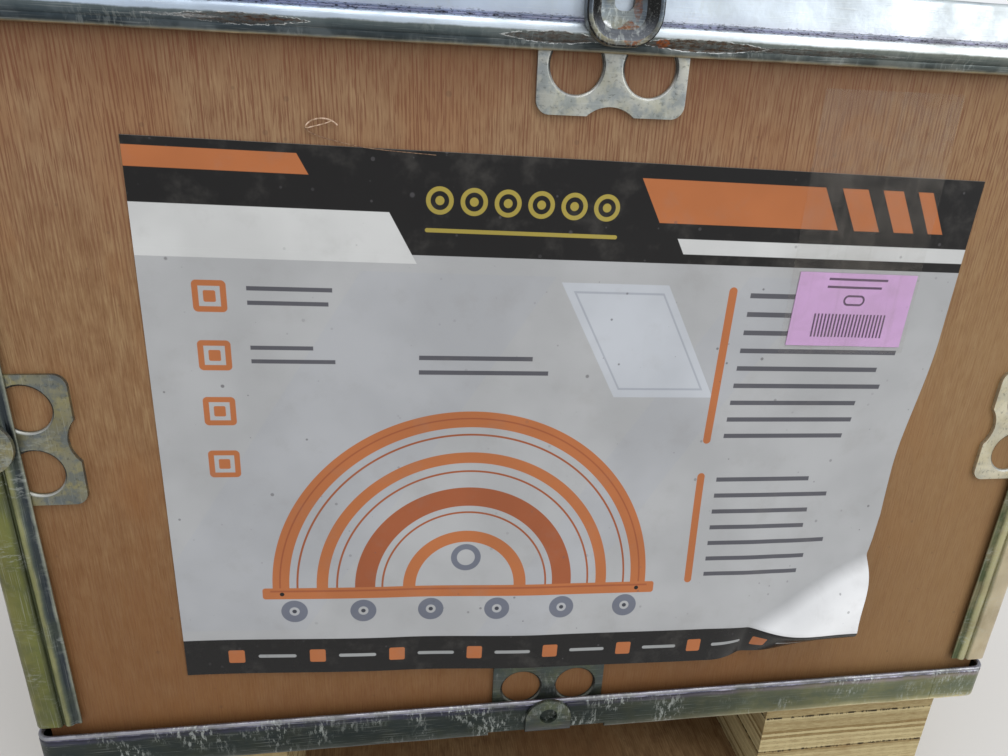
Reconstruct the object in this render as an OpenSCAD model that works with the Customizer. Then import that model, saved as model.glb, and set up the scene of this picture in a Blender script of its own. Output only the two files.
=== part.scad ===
// Long plywood shipping crate with galvanized steel edge strips, folded tongue
// clips and a pair of laminated runners. Millimetres. Z is up, Y runs along the
// crate and the labelled end faces -Y. The origin is the middle of the base.

/* [Crate] */
// Overall width across the edge strips
crate_w = 432; // [340:1:560]
// Overall length along the runners, without the clip tongues
crate_l = 2261; // [1400:1:2600]
// Overall height from the ground to the top strip
crate_h = 381; // [340:1:480]
// Thickness of the plywood panels
ply_t = 9; // [6:1:12]

/* [Runners] */
// Width of each runner
runner_w = 94; // [70:1:120]
// Distance from the middle to the centre line of each runner
runner_x = 166; // [120:1:168]
// Sideways shift of the runners and the board under them
runner_shift = -2.5; // [-4:0.5:1]
// Thickness of each glued layer of a runner
layer_t = 23; // [15:1:28]
// Number of glued layers in a runner
layers = 3; // [2:1:4]
// How far the runners stop short of the end panels
runner_setback = 12; // [5:1:30]
// Thickness of the board under the runners
board_t = 9; // [6:1:12]

/* [Edge strips] */
// Thickness of the sheet steel
sheet_t = 0.9; // [0.7:0.1:1]
// How far the base and lid rims stand proud of the plywood
rim_proud = 5; // [4.9:0.1:6]
// Height of the lid rim's face
lid_rim_h = 21.3; // [20:0.1:26]
// Height of the base rim's face
base_rim_h = 18.6; // [18:0.1:26]
// Width of the rim flanges over the lid and under the base
flange_w = 20; // [16:1:24]
// Outer radius of the rims where they bend round the crate's corners
bend_r = 6; // [5.9:0.1:9]
// How far the corner posts stand proud of the plywood
post_proud = 3.9; // [3.8:0.1:4]
// Width of each leg of a corner post
post_leg = 17.5; // [16:0.1:22]

/* [Clips] */
// Thickness of the clip plates and their tongues
clip_t = 1.5; // [1:0.1:1.5]
// Width of a clip plate
clip_w = 50; // [46:1:60]
// How far a clip plate reaches past the edge strip
clip_reach = 18.8; // [17:0.1:24]
// Diameter of the two eyes in a clip plate
eye_d = 17.2; // [12:0.1:18]
// Distance between the centres of the two eyes
eye_pitch = 24.5; // [22:0.1:28]
// Width of the tongue that folds over the strip
tongue_w = 20.6; // [18:0.1:25]
// Diameter of the hole in the end of a tongue
tongue_hole_d = 8; // [4:0.1:9]
// Rise of the end of the bent tongue at the middle of the front lid rim
tongue_lift = 2.6; // [0:0.1:4]
// Number of clips along each long edge
side_clips = 5; // [3:1:6]

/* [Label] */
// Width of the label sheet
label_w = 297; // [200:1:320]
// Height of the label sheet
label_h = 210; // [120:1:210]
// Lean of the label sheet in degrees, clockwise as seen from the front
label_lean = 1.16; // [0:0.01:3]

/* [Hidden] */
$fn = 48;
eps = 0.01;

// Plywood box
ply_x = crate_w / 2 - rim_proud;
ply_y = crate_l / 2 - rim_proud;
base_z = board_t + layers * layer_t;
floor_z = base_z + sheet_t + ply_t;
ceiling_z = crate_h - sheet_t - ply_t;

// Shape of the rolled edge of a strip: a crease, a rounded rib and a folded hem
hem_gap = clip_t + 0.1;
hem_w = 2.5;
hem_step = 0.7;
bead_r = 0.9;
crease_w = 0.9;
rim_sink = rim_proud - hem_gap - 2 * sheet_t;
rim_rib_w = 6.3;
rim_rib_rise = rim_sink;
post_sink = post_proud - hem_gap - sheet_t;
post_rib_w = 4;
post_rib_rise = 1.2;
rib_steps = 10;
bead_steps = 8;
fold_r = 1.6;
post_fold_r = 3.5;
fold_steps = 5;
seam_x = 189;
seam_w = 0.5;
seam_deep = 0.4;

// Where the posts and rims pass each other
post_x = ply_x + post_proud - post_leg;
post_y = ply_y + post_proud - post_leg;
lip_clear = 4;
post_z0 = base_z + base_rim_h + 1.4;
post_z1 = crate_h - sheet_t - 5;

// Clip shape
clip_corner = 4.5;
eye_inset = 3.8;
eye_bevel = 0.6;
waist_r = 12;
waist_depth = 3.1;
shoulder = 3;
lug_r = tongue_w / 2;
lug_reach = 19.6;
lug_hole_back = 8.6;
fold_in = 1.6;
base_clip_h = base_rim_h + 1;
lug_gap = 0.05;
lug_steps = 6;
clip_bend_r = 0.6;
plate_lap = 5;
slot_w = 54;
slot_depth = 2.6;

// Places of the clips on an end, as seen from the front
clip_top_x = 2.8;
clip_bottom_x = -3;
clip_left_z = 227.7;
clip_right_z = 225;
side_pitch = crate_l / side_clips;
side_clip_ys = [for (i = [0:side_clips - 1]) (i - (side_clips - 1) / 2) * side_pitch];

// Label and tag
paper_t = 0.4;
label_x = -4;
label_z = 222.3;
tag_w = 48;
tag_h = 28.5;
tag_x = 104.5;
tag_z = 275.4;
tag_lean = 1.5;

// Puts children drawn on a face, x along it, y up and z outward, on one side of the crate
module on_face(turn, out) {
    rotate([0, 0, turn]) translate([0, -out, 0]) rotate([90, 0, 0]) children();
}

module on_front() { on_face(0, ply_y) children(); }
module on_right() { on_face(90, ply_x) children(); }
module on_rear() { on_face(180, ply_y) children(); }
module on_left() { on_face(270, ply_x) children(); }

// Puts children drawn inward from an edge on the bottom or top edge of a face
module from_bottom() { translate([0, base_z, 0]) children(); }
module from_top() { translate([0, crate_h, 0]) mirror([0, 1, 0]) children(); }

// Extrudes a strip's section, x inward from the edge and y outward, along the edge
module along(length) {
    rotate([90, 0, 90]) translate([0, 0, -length / 2]) linear_extrude(length) children();
}

function arc(c, r, a0, a1, n) = [for (i = [0:n]) let (a = a0 + (a1 - a0) * i / n) c + r * [cos(a), sin(a)]];
function across(path, i) =
    let (d = path[min(i + 1, len(path) - 1)] - path[max(i - 1, 0)]) [-d.y, d.x] / norm(d);

// Section of bent sheet that follows a middle line
module sheet_section(path, t) {
    last = len(path) - 1;
    polygon([
        for (i = [0:last]) path[i] + across(path, i) * t / 2,
        for (i = [last:-1:0]) path[i] - across(path, i) * t / 2
    ]);
}

// Outer side of a strip's crease, round rib and hem: x inward from the edge, y in from its face
function rolled_edge(width, sink, rib_w, rib_rise) =
    let (
        rib_x = width - hem_w - rib_w,
        rib_r = (rib_w * rib_w / 4 + rib_rise * rib_rise) / (2 * rib_rise),
        half_a = asin(rib_w / 2 / rib_r),
        rib = arc([rib_x + rib_w / 2, sink + rib_r - rib_rise], rib_r, 270 - half_a, 270 + half_a, rib_steps)
    )
    [[rib_x - crease_w, 0], each rib, [width - hem_step, sink]];

// Outer side of a bead folded in along a strip's free edge, down to the back of the strip
function beaded_edge(width) = [
    each arc([width - bead_r, bead_r], bead_r, 270, 450, bead_steps),
    [width - hem_w, 2 * bead_r],
    [width - hem_w, sheet_t]
];

function deeper(path) = [for (p = path) p + [0, sheet_t]];
function backward(path) = [for (i = [len(path) - 1:-1:0]) path[i]];
function swapped(path) = [for (p = backward(path)) [p.y, p.x]];

// Section of a rim, from its flange round the fold to the given outer side and back of its face
module rim_section(face, back = []) {
    c = [fold_r, fold_r];
    outer = arc(c, fold_r, 180, 270, fold_steps);
    inner = arc(c, fold_r - sheet_t, 270, 180, fold_steps);
    translate([0, rim_proud]) mirror([0, 1]) polygon([
        [0, flange_w], each outer, each face, each back, each inner, [sheet_t, flange_w]
    ]);
}

// Lid rim on one edge of a face: a rolled edge between the posts and a plain lip past them
module lid_strip(length, rolled_length, slots) {
    lip_l = (length - rolled_length) / 2;
    roll = rolled_edge(lid_rim_h, rim_sink, rim_rib_w, rim_rib_rise);
    lip = [[lid_rim_h, 0]];
    difference() {
        union() {
            along(rolled_length) {
                rim_section(roll, backward(deeper(roll)));
                translate([lid_rim_h - hem_w, hem_gap]) square([hem_w, sheet_t + eps]);
            }
            for (side = [-1, 1]) translate([side * (rolled_length + lip_l) / 2, 0, 0])
                along(lip_l) rim_section(lip, deeper(lip));
        }
        for (x = slots) tongue_slot(x);
    }
}

// Base rim on one edge of a face: flat up to the bead on its free edge
module base_strip(length, slots) {
    difference() {
        along(length) rim_section(beaded_edge(base_rim_h));
        for (x = slots) tongue_slot(x);
    }
}

// Fine joint where the two ends of a bent strip meet on its face
module strip_seam(height) {
    translate([seam_x, -1, rim_proud - seam_deep]) cube([seam_w, height + 1, seam_deep + 1]);
}

// Opening in the folded edge of a strip, where a tongue comes through
module tongue_slot(x) {
    translate([x - slot_w / 2, -1, -0.3]) cube([slot_w, slot_depth + 1, rim_proud + 1]);
}

// Bent ends of a rim round both corners of the crate, with the section of its face as a child
module bent_ends() {
    x = crate_w / 2 - bend_r;
    for (side = [-1, 1]) mirror([side < 0 ? 1 : 0, 0, 0]) {
        translate([x, 0, rim_proud - bend_r]) rotate([-90, 0, 0]) rotate_extrude(angle = -90) children();
        corner_flange(x);
    }
}

// Lid rim along an end, bent round both corners
module lid_end_rim() {
    lid_strip(crate_w - 2 * bend_r, 2 * (post_x - lip_clear), [clip_top_x]);
    bent_ends() translate([bend_r - sheet_t, 0]) square([sheet_t, lid_rim_h]);
}

// Base rim along an end, whose bead runs on round both corners
module base_end_rim() {
    base_strip(crate_w - 2 * bend_r, [clip_bottom_x]);
    bent_ends() polygon([
        [bend_r, 0], for (p = beaded_edge(base_rim_h)) [bend_r - p.y, p.x], [bend_r - sheet_t, 0]
    ]);
}

// Flange of a bent rim beyond its straight part
module corner_flange(x) {
    rotate([-90, 0, 0]) linear_extrude(sheet_t) {
        intersection() {
            translate([x, bend_r - rim_proud]) circle(bend_r);
            translate([x - eps, -rim_proud]) square(bend_r + eps);
        }
        translate([x - eps, bend_r - rim_proud]) square([bend_r + eps, flange_w - bend_r]);
    }
}

// Rims along a side, between the bent ends of the end rims
module lid_side_rim() {
    lid_strip(crate_l - 2 * bend_r, 2 * (post_y - lip_clear), side_clip_ys);
}

module base_side_rim() {
    base_strip(crate_l - 2 * bend_r, side_clip_ys);
}

// Section of a corner post, with its folded edge at the origin and a leg along each axis
module post_section() {
    leg = rolled_edge(post_leg, post_sink, post_rib_w, post_rib_rise);
    c = [post_fold_r, post_fold_r];
    outer = arc(c, post_fold_r, 180, 270, 2 * fold_steps);
    inner = arc(c, post_fold_r - sheet_t, 270, 180, 2 * fold_steps);
    polygon([
        each swapped(leg), each outer, each leg,
        each backward(deeper(leg)), each inner, each backward(swapped(deeper(leg)))
    ]);
}

// Corner post drawn at the corner of the front and the left side
module corner_post(slot_z) {
    translate([-ply_x - post_proud, -ply_y - post_proud, 0]) difference() {
        translate([0, 0, post_z0]) linear_extrude(post_z1 - post_z0) post_section();
        translate([-1, -1, slot_z - slot_w / 2]) cube([slot_depth + 1, post_proud + 1.3, slot_w]);
    }
}

// Outline of a clip plate, x along the edge and y inward, with its two eyes cut out
module plate_outline(strip_h) {
    far = strip_h + clip_reach;
    near = strip_h - 8;
    difference() {
        union() {
            translate([-clip_w / 2, near + shoulder]) square([clip_w, far - near - shoulder - clip_corner]);
            translate([-clip_w / 2 + clip_corner, near]) square([clip_w - 2 * clip_corner, far - near]);
            for (side = [-1, 1]) {
                translate([side * (clip_w / 2 - clip_corner), far - clip_corner]) circle(clip_corner);
                translate([side * (clip_w / 2 - clip_corner), near + clip_corner]) circle(clip_corner);
            }
        }
        translate([0, far + waist_r - waist_depth]) circle(waist_r);
    }
    translate([-tongue_w / 2, plate_lap - 1]) square([tongue_w, near - plate_lap + 2]);
}

// Side view of the folded tongue: out through the slot and back over the strip
module fold_section(proud, reach, lift) {
    mid = clip_t / 2;
    bend = clip_bend_r + mid;
    back_y = proud + lug_gap + mid;
    turn_y = fold_in + mid + bend;
    inner = arc([turn_y, mid + bend], bend, 270, 180, fold_steps);
    outer = arc([turn_y, back_y - bend], bend, 180, 90, fold_steps);
    lug = [for (i = [1:lug_steps]) let (a = i / lug_steps)
        [turn_y + (reach - turn_y) * a, back_y + lift * sin(90 * a)]];
    sheet_section(concat([[plate_lap, mid]], inner, outer, lug), clip_t);
}

// Stamped clip with two eyes and a folded tongue, x along the edge and y inward from it
module clip(strip_h, proud, lift = 0) {
    reach = min(lug_reach, strip_h - 0.1);
    color("lightsteelblue") difference() {
        union() {
            linear_extrude(clip_t) plate_outline(strip_h);
            intersection() {
                along(tongue_w) fold_section(proud, reach, lift);
                translate([0, 0, -1]) linear_extrude(proud + lift + clip_t + 2) {
                    translate([0, reach - lug_r]) circle(lug_r);
                    translate([-lug_r, -1]) square([tongue_w, reach - lug_r + 1]);
                }
            }
        }
        for (side = [-1, 1]) translate([side * eye_pitch / 2, strip_h + eye_inset, 0]) {
            translate([0, 0, -1]) cylinder(d = eye_d, h = clip_t + 2);
            translate([0, 0, clip_t - eye_bevel])
                cylinder(d1 = eye_d, d2 = eye_d + 2 * eye_bevel, h = eye_bevel + eps);
        }
        translate([0, reach - lug_hole_back, proud - 0.5]) cylinder(d = tongue_hole_d, h = lift + clip_t + 2);
    }
}

// The clips of one end, drawn on its face
module clip_at_top() {
    from_top() translate([clip_top_x, 0, 0]) clip(lid_rim_h, rim_proud, tongue_lift);
}

module clip_at_bottom() {
    from_bottom() translate([clip_bottom_x, 0, 0]) clip(base_clip_h, rim_proud);
}

module clip_at_left() {
    translate([-ply_x - post_proud, clip_left_z, 0]) rotate([0, 0, -90]) clip(post_leg, post_proud);
}

module clip_at_right() {
    translate([ply_x + post_proud, clip_right_z, 0]) rotate([0, 0, 90]) clip(post_leg, post_proud);
}

module side_clip_row(strip_h) {
    for (x = side_clip_ys) translate([x, 0, 0]) clip(strip_h, rim_proud);
}

// Runner of glued layers, with the fine gap of each glue line cut round it
module runner(x) {
    groove = 0.6;
    runner_l = 2 * (ply_y - runner_setback);
    color("burlywood") difference() {
        translate([x - runner_w / 2, -runner_l / 2, board_t]) cube([runner_w, runner_l, layers * layer_t]);
        for (i = [1:layers - 1]) translate([x, 0, board_t + i * layer_t]) difference() {
            cube([runner_w + 2, runner_l + 2, groove], center = true);
            cube([runner_w - 2 * groove, runner_l - 2 * groove, groove + 1], center = true);
        }
    }
}

module left_runner() { runner(runner_shift - runner_x); }
module right_runner() { runner(runner_shift + runner_x); }

module bottom_board() {
    board_w = 2 * runner_x + runner_w;
    board_l = 2 * (ply_y - runner_setback);
    color("sienna") translate([runner_shift - board_w / 2, -board_l / 2, 0]) cube([board_w, board_l, board_t]);
}

module base_panel() {
    color("peru") translate([-ply_x, -ply_y, base_z + sheet_t]) cube([2 * ply_x, 2 * ply_y, ply_t]);
}

module lid_panel() {
    color("peru") translate([-ply_x, -ply_y, ceiling_z]) cube([2 * ply_x, 2 * ply_y, ply_t]);
}

module end_panel() {
    color("peru") translate([-ply_x, -ply_y, floor_z]) cube([2 * ply_x, ply_t, ceiling_z - floor_z]);
}

module side_panel() {
    panel_l = 2 * (ply_y - ply_t);
    color("peru") translate([ply_x - ply_t, -panel_l / 2, floor_z]) cube([ply_t, panel_l, ceiling_z - floor_z]);
}

module front_end_panel() { end_panel(); }
module rear_end_panel() { rotate([0, 0, 180]) end_panel(); }
module right_side_panel() { side_panel(); }
module left_side_panel() { rotate([0, 0, 180]) side_panel(); }

module base_rim_front() {
    color("silver") on_front() from_bottom() difference() {
        base_end_rim();
        strip_seam(base_rim_h - hem_w);
    }
}

module base_rim_rear() { color("silver") on_rear() from_bottom() base_end_rim(); }
module base_rim_left() { color("silver") on_left() from_bottom() base_side_rim(); }
module base_rim_right() { color("silver") on_right() from_bottom() base_side_rim(); }

module lid_rim_front() { color("silver") on_front() from_top() lid_end_rim(); }
module lid_rim_rear() { color("silver") on_rear() from_top() lid_end_rim(); }
module lid_rim_left() { color("silver") on_left() from_top() lid_side_rim(); }
module lid_rim_right() { color("silver") on_right() from_top() lid_side_rim(); }

module post_front_left() { color("silver") corner_post(clip_left_z); }
module post_front_right() { color("silver") mirror([1, 0, 0]) corner_post(clip_right_z); }
module post_rear_left() { color("silver") rotate([0, 0, 180]) mirror([1, 0, 0]) corner_post(clip_right_z); }
module post_rear_right() { color("silver") rotate([0, 0, 180]) corner_post(clip_left_z); }

module front_clip_top() { on_front() clip_at_top(); }
module front_clip_bottom() { on_front() clip_at_bottom(); }
module front_clip_left() { on_front() clip_at_left(); }
module front_clip_right() { on_front() clip_at_right(); }
module rear_clip_top() { on_rear() clip_at_top(); }
module rear_clip_bottom() { on_rear() clip_at_bottom(); }
module rear_clip_left() { on_rear() clip_at_left(); }
module rear_clip_right() { on_rear() clip_at_right(); }

module left_clips_top() { on_left() from_top() side_clip_row(lid_rim_h); }
module left_clips_bottom() { on_left() from_bottom() side_clip_row(base_clip_h); }
module right_clips_top() { on_right() from_top() side_clip_row(lid_rim_h); }
module right_clips_bottom() { on_right() from_bottom() side_clip_row(base_clip_h); }

module label_sheet() {
    color("lightgray") on_front() translate([label_x, label_z, 0]) rotate([0, 0, -label_lean])
        translate([-label_w / 2, -label_h / 2, 0]) cube([label_w, label_h, paper_t]);
}

module lot_tag() {
    color("plum") on_front() translate([tag_x, tag_z, paper_t]) rotate([0, 0, -tag_lean])
        translate([-tag_w / 2, -tag_h / 2, 0]) cube([tag_w, tag_h, paper_t]);
}

bottom_board();
left_runner();
right_runner();
base_panel();
left_side_panel();
right_side_panel();
front_end_panel();
rear_end_panel();
lid_panel();
base_rim_front();
base_rim_rear();
base_rim_left();
base_rim_right();
lid_rim_front();
lid_rim_rear();
lid_rim_left();
lid_rim_right();
post_front_left();
post_front_right();
post_rear_left();
post_rear_right();
front_clip_top();
front_clip_bottom();
front_clip_left();
front_clip_right();
rear_clip_top();
rear_clip_bottom();
rear_clip_left();
rear_clip_right();
left_clips_top();
left_clips_bottom();
right_clips_top();
right_clips_bottom();
label_sheet();
lot_tag();
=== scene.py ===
"""Looks of a long plywood shipping crate with zinc-coated edge strips and folded clips.

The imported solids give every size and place. The panels, the runners and the
bottom board keep their solids and get a finish. The strips, clips, label and
tag are modelled here, in finer detail, and stand for their solids. The clear
tape and the slivers of wood fibre are new pieces.
"""

import logging
import math
from collections.abc import Callable, Iterable, Sequence
from dataclasses import dataclass
from enum import Enum
from functools import cache

import bmesh
import bpy
from mathutils import Euler, Matrix, Vector


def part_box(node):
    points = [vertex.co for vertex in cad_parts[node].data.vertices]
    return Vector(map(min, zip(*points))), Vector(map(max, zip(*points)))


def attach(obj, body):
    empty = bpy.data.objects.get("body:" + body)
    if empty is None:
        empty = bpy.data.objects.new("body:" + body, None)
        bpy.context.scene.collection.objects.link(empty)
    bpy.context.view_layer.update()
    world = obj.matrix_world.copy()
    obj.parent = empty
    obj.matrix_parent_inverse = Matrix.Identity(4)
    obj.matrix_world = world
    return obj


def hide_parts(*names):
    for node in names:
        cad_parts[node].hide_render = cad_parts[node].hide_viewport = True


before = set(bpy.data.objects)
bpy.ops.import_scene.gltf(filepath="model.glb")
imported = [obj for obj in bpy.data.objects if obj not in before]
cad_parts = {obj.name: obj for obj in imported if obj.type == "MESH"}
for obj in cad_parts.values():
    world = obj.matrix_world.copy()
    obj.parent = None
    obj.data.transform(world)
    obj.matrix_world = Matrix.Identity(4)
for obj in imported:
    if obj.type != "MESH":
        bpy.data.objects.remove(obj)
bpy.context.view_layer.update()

MM = 0.001
LOG = logging.getLogger("crate")

Socket = bpy.types.NodeSocket
Tree = bpy.types.NodeTree
Material = bpy.types.Material
Value = float | tuple | Socket
Colour = tuple[float, float, float, float]
Bands = tuple[tuple[float, Colour], ...]
Point = tuple[float, float]


def srgb(red: int, green: int, blue: int) -> Colour:
    """Linear colour of an 8-bit sRGB one.

    Args:
        red: Red, 0 to 255.
        green: Green, 0 to 255.
        blue: Blue, 0 to 255.

    Returns:
        The colour as a shader socket takes it.
    """
    def linear(value: float) -> float:
        """Linear value of one channel."""
        return value / 12.92 if value <= 0.04045 else ((value + 0.055) / 1.055) ** 2.4
    return linear(red / 255), linear(green / 255), linear(blue / 255), 1.0


def toned(*rows: tuple[float, int, int, int]) -> Bands:
    """Bands of colour, from rows of a place in millimetres and an 8-bit sRGB colour."""
    return tuple((place, srgb(red, green, blue)) for place, red, green, blue in rows)


class Nodes:
    """A node tree with short calls for the nodes that the finishes use."""

    def __init__(self, tree: Tree) -> None:
        """Takes the tree that nodes are added to."""
        self.tree = tree

    def node(self, kind: str, inputs: dict[str | int, Value] | None = None,
             **settings: object) -> bpy.types.Node:
        """Adds a node.

        Args:
            kind: The node's type name without its first word, ShaderNode.
            inputs: Values and sockets for its inputs.
            settings: Its other properties.

        Returns:
            The new node.
        """
        made = self.tree.nodes.new("ShaderNode" + kind)
        for key, value in settings.items():
            setattr(made, key, value)
        for key, value in (inputs or {}).items():
            self.feed(made.inputs[key], value)
        return made

    def feed(self, target: Socket, value: Value) -> None:
        """Links a socket to the target, or sets the target's own value.

        Args:
            target: Socket to feed.
            value: Socket to link, or value to set.
        """
        if isinstance(value, Socket):
            self.tree.links.new(value, target)
        else:
            target.default_value = value

    def math(self, operation: str, *values: Value, clamp: bool = False) -> Socket:
        """Result of a Math node on the values."""
        inputs = dict(enumerate(values))
        return self.node("Math", inputs, operation=operation, use_clamp=clamp).outputs[0]

    def times(self, first: Value, second: Value) -> Socket:
        """Product of two values."""
        return self.math("MULTIPLY", first, second)

    def plus(self, first: Value, second: Value) -> Socket:
        """Sum of two values."""
        return self.math("ADD", first, second)

    def minus(self, first: Value, second: Value) -> Socket:
        """First value less the second."""
        return self.math("SUBTRACT", first, second)

    def apart(self, first: Value, second: Value) -> Socket:
        """Distance between two values."""
        return self.math("ABSOLUTE", self.minus(first, second))

    def mix(self, factor: Value, low: Value, high: Value, blend: str = "MIX") -> Socket:
        """Colour mixed from two by a factor."""
        inputs = {0: factor, 6: low, 7: high}
        return self.node("Mix", inputs, data_type="RGBA", blend_type=blend).outputs[2]

    def shaded(self, colour: Value, shade: Socket) -> Socket:
        """Colour made darker or lighter by a factor."""
        grey = self.node("CombineColor", {0: shade, 1: shade, 2: shade}).outputs[0]
        return self.mix(1.0, colour, grey, "MULTIPLY")

    def ramp(self, value: Socket, stops: Sequence[tuple[float, Colour]]) -> Socket:
        """Colour of a ramp with the given stops.

        Args:
            value: Place on the ramp.
            stops: Its places and colours.

        Returns:
            The colour.
        """
        made = self.node("ValToRGB", {0: value})
        elements = made.color_ramp.elements
        while len(elements) < len(stops):
            elements.new(1.0)
        for element, (place, colour) in zip(elements, stops):
            element.position, element.color = place, colour
        return made.outputs[0]

    def span(self, value: Value, low: float, high: float, to_low: float = 0.0, to_high: float = 1.0) -> Socket:
        """Value carried smoothly from one range to another and held at both ends.

        Args:
            value: Value to carry over.
            low: Start of its range.
            high: End of its range.
            to_low: Result at the start.
            to_high: Result at the end.

        Returns:
            The result.
        """
        if low > high:
            low, high, to_low, to_high = high, low, to_high, to_low
        inputs = {0: value, 1: low, 2: high, 3: to_low, 4: to_high}
        return self.node("MapRange", inputs, interpolation_type="SMOOTHSTEP").outputs[0]

    def scaled(self, vector: Socket, scale: tuple[float, float, float],
               turn: tuple[float, float, float] = (0, 0, 0)) -> Socket:
        """Vector scaled and turned by a Mapping node."""
        inputs = {"Vector": vector, "Scale": scale, "Rotation": turn}
        return self.node("Mapping", inputs).outputs[0]

    def noise(self, vector: Socket, scale: float, detail: float = 3, rough: float = 0.5,
              warp: float = 0) -> Socket:
        """Noise, mostly 0.3 to 0.7."""
        inputs = {"Vector": vector, "Scale": scale, "Detail": detail, "Roughness": rough, "Distortion": warp}
        return self.node("TexNoise", inputs).outputs["Fac"]

    def stretched(self, vector: Socket, scale: tuple[float, float, float], detail: float = 3,
                  rough: float = 0.5, warp: float = 0) -> Socket:
        """Noise with a scale of its own on each axis."""
        return self.noise(self.scaled(vector, scale), 1, detail, rough, warp)

    def swing(self, noise: Socket, size: Value) -> Socket:
        """Noise about its middle, times a size."""
        return self.times(self.minus(noise, 0.5), size)

    def axes(self, vector: Socket) -> tuple[Socket, Socket, Socket]:
        """The vector's three components."""
        parts = self.node("SeparateXYZ", {0: vector}).outputs
        return parts[0], parts[1], parts[2]

    def group(self, tree: Tree, inputs: dict[str | int, Value]) -> bpy.types.NodeOutputs:
        """Outputs of a node group placed in this tree."""
        return self.node("Group", inputs, node_tree=tree).outputs


class Effect(Nodes):
    """A shader node group with named inputs and outputs."""

    def __init__(self, name: str, inputs: dict[str, float | None], outputs: Iterable[str]) -> None:
        """Makes the group.

        Args:
            name: Name of the group.
            inputs: Its inputs and their defaults; None is for a vector.
            outputs: Names of its outputs.
        """
        super().__init__(bpy.data.node_groups.new(name, "ShaderNodeTree"))
        face = self.tree.interface
        for label, value in inputs.items():
            kind = "NodeSocketVector" if value is None else "NodeSocketFloat"
            socket = face.new_socket(name=label, in_out="INPUT", socket_type=kind)
            if value is not None:
                socket.default_value = value
        for label in outputs:
            face.new_socket(name=label, in_out="OUTPUT", socket_type="NodeSocketFloat")
        self.given = self.tree.nodes.new("NodeGroupInput").outputs
        self.result = self.tree.nodes.new("NodeGroupOutput").inputs

    def give(self, **values: Value) -> Tree:
        """Feeds the group's outputs and returns its tree."""
        for label, value in values.items():
            self.feed(self.result[label], value)
        return self.tree


@cache
def wood_figure() -> Tree:
    """Grain of wood whose fibres run along the vector's Z: tone, pores and soft mottling.

    Returns:
        The group.
    """
    effect = Effect("wood figure", {"Vector": None, "Wander": 0.003}, ("Tone", "Pores", "Mottle"))
    place = effect.given["Vector"]
    wave = effect.stretched(place, (13, 13, 7), 2)
    sway = effect.swing(wave, effect.given["Wander"])
    shift = effect.node("CombineXYZ", {0: sway, 1: sway}).outputs[0]
    bent = effect.node("VectorMath", {0: place, 1: shift}, operation="ADD").outputs[0]
    fine = effect.stretched(bent, (2400, 2400, 120), 2, 0.65)
    broad = effect.stretched(bent, (260, 260, 14), 2, 0.5)
    patchy = effect.stretched(bent, (190, 190, 120), 3, 0.6)
    mottle = effect.stretched(bent, (34, 34, 20), 3, 0.55)
    pore = effect.stretched(bent, (3100, 3100, 120), 1, 0.5)
    waves = effect.node("TexWave", {"Vector": effect.scaled(bent, (1.0, 1.0, 0.07)), "Scale": 250.0,
                                    "Distortion": 4.0, "Detail": 2.0, "Detail Scale": 1.2,
                                    "Detail Roughness": 0.6}, bands_direction="X")
    broken = effect.stretched(bent, (500, 500, 60), 3, 0.65)
    kept = effect.span(broken, 0.4, 0.6, 0.15, 1.0)
    rows = effect.times(effect.span(waves.outputs["Fac"], 0.4, 0.95), kept)
    tone = effect.plus(effect.times(fine, 0.5),
                       effect.plus(effect.times(broad, 0.18), effect.times(patchy, 0.32)))
    pores = effect.math("MAXIMUM", effect.span(pore, 0.56, 0.68, 0.0, 0.8), effect.times(rows, 0.85))
    return effect.give(Tone=tone, Pores=pores, Mottle=mottle)


@cache
def steel_wear() -> Tree:
    """Marks on zinc-coated steel drawn along the vector's X.

    Returns:
        The group.
    """
    effect = Effect("steel wear", {"Vector": None}, ("Blotch", "Scratch", "Speck", "Bloom"))
    place = effect.given["Vector"]
    blotch = effect.noise(place, 95, 4, 0.6)
    scratch = effect.stretched(place, (60, 3200, 3200), 2)
    speck = effect.stretched(place, (700, 1500, 1500), 2, 0.6)
    crystals = effect.stretched(place, (760, 260, 260), 3, 0.7)
    bloom = effect.times(effect.span(effect.noise(place, 60, 2), 0.44, 0.66), effect.span(crystals, 0.5, 0.62))
    return effect.give(Blotch=blotch, Scratch=effect.span(scratch, 0.58, 0.74),
                       Speck=effect.span(speck, 0.6, 0.68), Bloom=bloom)


@cache
def worn_spot() -> Tree:
    """Ragged lens-shaped patch with pointed ends, and a narrow rim round it.

    Returns:
        The group.
    """
    sizes = {"Vector": None, "X": 0.0, "Y": 0.0, "Reach X": 0.01, "Reach Y": 0.002, "Rag": 0.5}
    effect = Effect("worn spot", sizes, ("Inside", "Rim"))
    given = effect.given
    x, y, _ = effect.axes(given["Vector"])
    across = effect.math("DIVIDE", effect.minus(x, given["X"]), given["Reach X"])
    down = effect.math("DIVIDE", effect.minus(y, given["Y"]), given["Reach Y"])
    far = effect.plus(effect.times(across, across), effect.math("ABSOLUTE", down))
    rag = effect.swing(effect.noise(given["Vector"], 480, 3, 0.6), given["Rag"])
    reach = effect.plus(far, rag)
    rim = effect.minus(1.0, effect.span(effect.apart(reach, 1.0), 0.02, 0.11))
    return effect.give(Inside=effect.span(reach, 1.0, 0.9), Rim=rim)


@cache
def dust_grains() -> Tree:
    """Sparse grains of dirt, of the given spacing and share.

    Returns:
        The group.
    """
    effect = Effect("dust grains", {"Vector": None, "Scale": 300.0, "Share": 0.3}, ("Grains",))
    given = effect.given
    cells = effect.node("TexVoronoi", {"Vector": given["Vector"], "Scale": given["Scale"]}).outputs
    size = effect.times(given["Share"], effect.axes(cells["Color"])[0])
    size = effect.times(size, effect.axes(cells["Color"])[0])
    inside = effect.minus(size, cells["Distance"])
    return effect.give(Grains=effect.span(inside, 0.0, 0.05))


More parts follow.
